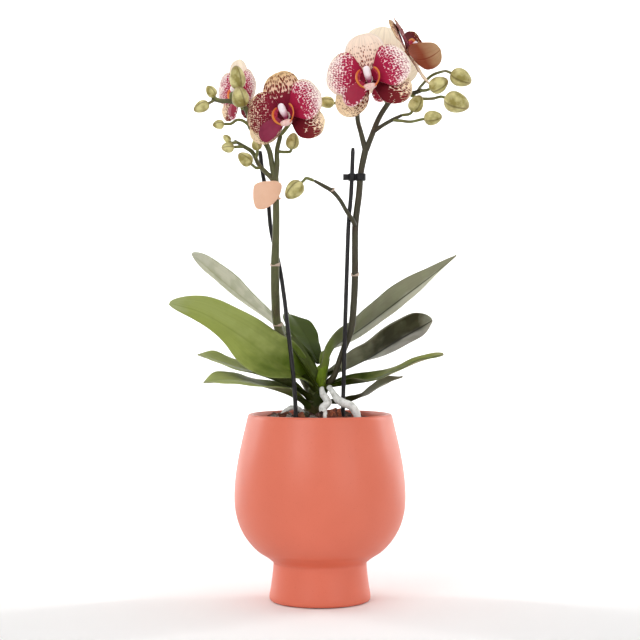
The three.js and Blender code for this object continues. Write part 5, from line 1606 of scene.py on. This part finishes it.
def makeFlowers():
    backs = {key: petalBack("petalBack-" + key, look) for key, look in tepalBacks.items()}
    fronts = {key: spottedPetal("petalFace-" + key, face) for key, face in tepalFaces.items()}
    lobes, crest = lobeTissue(), crestTissue()
    tongues = {True: tongueTissue("tongueTissueFlecked", 1.1, "#8E1B37", "#A62340"),
               False: tongueTissue("tongueTissuePlain", 2.2, "#701434", "#942C4A")}
    column = columnTissue()
    for node, flower in flowerValues.items():
        makeTepals(node, flower, [*(fronts[key] for key in flower["faces"]), backs[flower["back"]]])
        makeLip(node, flower, [lobes, tongues[flower["flecked"]], crest])
        makeColumn(node, flower, column)


makeFlowers()
print("flowers made")


# Tag: a plain blush card with soft corners on a small loop
tagValues = {
    "outline": [[-9.1, 7], [-6.6, 8.8], [0.4, 9.9], [6.8, 9.8], [9.8, 7.7], [9.8, 4.2], [7.2, -2.2], [1.6,
                                                                                                      -7.6],
                [-3.9, -9.9], [-7.8, -8.8], [-9.7, -3.9], [-9.9, 3.1]],
    "x": -36.8, "z": 283.2, "ring": [-30.8, 281, -8.5], "ringRadius": 4.3, "ringHeight": 4,
    "thickness": 0.9,
    "colour": "#EBC0A4", "shade": "#DFAF90",
}


def pressedCard():
    # Smooth dyed card: a faint paper fibre and a very slight bend in its colour
    material, tree, shader = newMaterial("pressedCard")
    place = add(tree, "TexCoord", {}, "Object")
    fibres = add(tree, "TexNoise", {"Vector": place, "Scale": perMm(0.8), "Detail": 4})
    clouds = add(tree, "TexNoise", {"Vector": place, "Scale": perMm(9), "Detail": 2})
    mixed = add(tree, "Math", {0: fibres, 1: 0.4, 2: clouds}, operation="MULTIPLY_ADD")
    colour = add(tree, "Mix", {0: mixed, 6: tagValues["colour"], 7: tagValues["shade"]},
                 data_type="RGBA")
    bump = add(tree, "Bump", {"Height": fibres, "Strength": 0.2, "Distance": 0.0001})
    setInputs(tree, shader, {"Base Color": colour, "Roughness": 0.55, "Normal": bump})
    return material


def makeTag(material):
    v = tagValues
    corners = [Vector((x, 0, y)) for x, y in v["outline"]]
    count = len(corners)
    loop = [corners[(i - 1) % count] for i in range(count + 3)]
    bm = bmesh.new()
    ring = []
    for i in range(count):
        for part in range(4):
            share = (i + 1 + part / 4) / (len(loop) - 1)
            ring.append(bm.verts.new(curvePoint(loop, share)))
    face = bm.faces.new(ring)
    raised = bmesh.ops.extrude_face_region(bm, geom=[face], use_keep_orig=True)["geom"]
    backVerts = [item for item in raised if isinstance(item, bmesh.types.BMVert)]
    bmesh.ops.translate(bm, vec=(0, -v["thickness"], 0), verts=backVerts)
    bmesh.ops.recalc_face_normals(bm, faces=bm.faces)
    rims = [edge for edge in bm.edges if sum(len(f.verts) > 4 for f in edge.link_faces) == 1]
    bmesh.ops.bevel(bm, geom=rims, offset=0.22, offset_type="OFFSET", segments=3, profile=0.5,
                    affect="EDGES",
                    material=-1)
    middle = seenAt([v["x"], v["z"], v["ring"][2] - v["ringRadius"] + 1.1])
    bmesh.ops.translate(bm, vec=middle, verts=bm.verts)
    addRing(bm, seenAt(v["ring"]), (3.0, v["ringRadius"] - 0.8), v["ringHeight"] * 0.3)
    makePiece("tag-card", bm, [material], ["tag"], sharpAngle=40)


makeTag(pressedCard())
print("tag made")


# Stage: a pale sweep all round, and soft lights
stageValues = {"flat": 2.4, "rise": 1.3, "height": 1.7, "colour": "#F4F4F3"}


def paperSweep():
    # Matt seamless background paper
    material, tree, shader = newMaterial("paperSweep")
    place = add(tree, "TexCoord", {}, "Object")
    grain = add(tree, "TexNoise", {"Vector": place, "Scale": 4.0, "Detail": 2})
    colour = add(tree, "Mix", {0: grain, 6: stageValues["colour"], 7: "#F7F7F7"},
                 data_type="RGBA")
    setInputs(tree, shader, {"Base Color": colour, "Roughness": 0.9, "Specular IOR Level": 0.2})
    return material


def makeStage():
    v = stageValues
    outline = [(0, 0), (v["flat"] / 2, 0), (v["flat"], 0)]
    for i in range(1, 13):
        turn = i / 12 * math.pi / 2
        outline.append((v["flat"] + v["rise"] * math.sin(turn), v["rise"] * (1 - math.cos(turn))))
    outline.append((v["flat"] + v["rise"], v["height"]))
    bm = bmesh.new()
    addTurned(bm, outline, 96, weld=1e-6)
    placeMesh("sweep", bm, [paperSweep()])


lightValues = {
    "key": {"at": (-0.8, -1.5, 1.1), "to": (0, 0, 0.2), "size": (0.8, 1.1), "power": 12.5},
    "fill": {"at": (1.1, -1.5, 0.7), "to": (0, 0, 0.2), "size": (1.0, 1.0), "power": 6.2},
    "top": {"at": (0.1, 0.1, 1.7), "to": (0, 0, 0.2), "size": (1.2, 1.2), "power": 6.5},
    "sweepLeft": {"at": (-1.7, 0.9, 1.0), "to": (0.25, 3.7, 0.6), "size": (0.6, 1.2), "power": 82},
    "sweepRight": {"at": (1.7, 0.9, 1.0), "to": (-0.25, 3.7, 0.6), "size": (0.6, 1.2), "power": 82},
}


def addLights():
    for name, v in lightValues.items():
        light = bpy.data.lights.new(name, "AREA")
        light.shape = "RECTANGLE"
        light.size, light.size_y = v["size"]
        light.energy = v["power"]
        lamp = bpy.data.objects.new(name, light)
        lamp.location = v["at"]
        lamp.rotation_euler = (Vector(v["to"]) - Vector(v["at"])).to_track_quat("-Z", "Y").to_euler()
        bpy.context.scene.collection.objects.link(lamp)
    world = bpy.data.worlds.new("studio")
    world.use_nodes = True
    world.node_tree.nodes["Background"].inputs["Color"].default_value = (1, 1, 1, 1)
    world.node_tree.nodes["Background"].inputs["Strength"].default_value = 0.38
    bpy.context.scene.world = world
    bpy.context.scene.view_settings.view_transform = "Standard"


makeStage()
addLights()
print("stage and lights made")
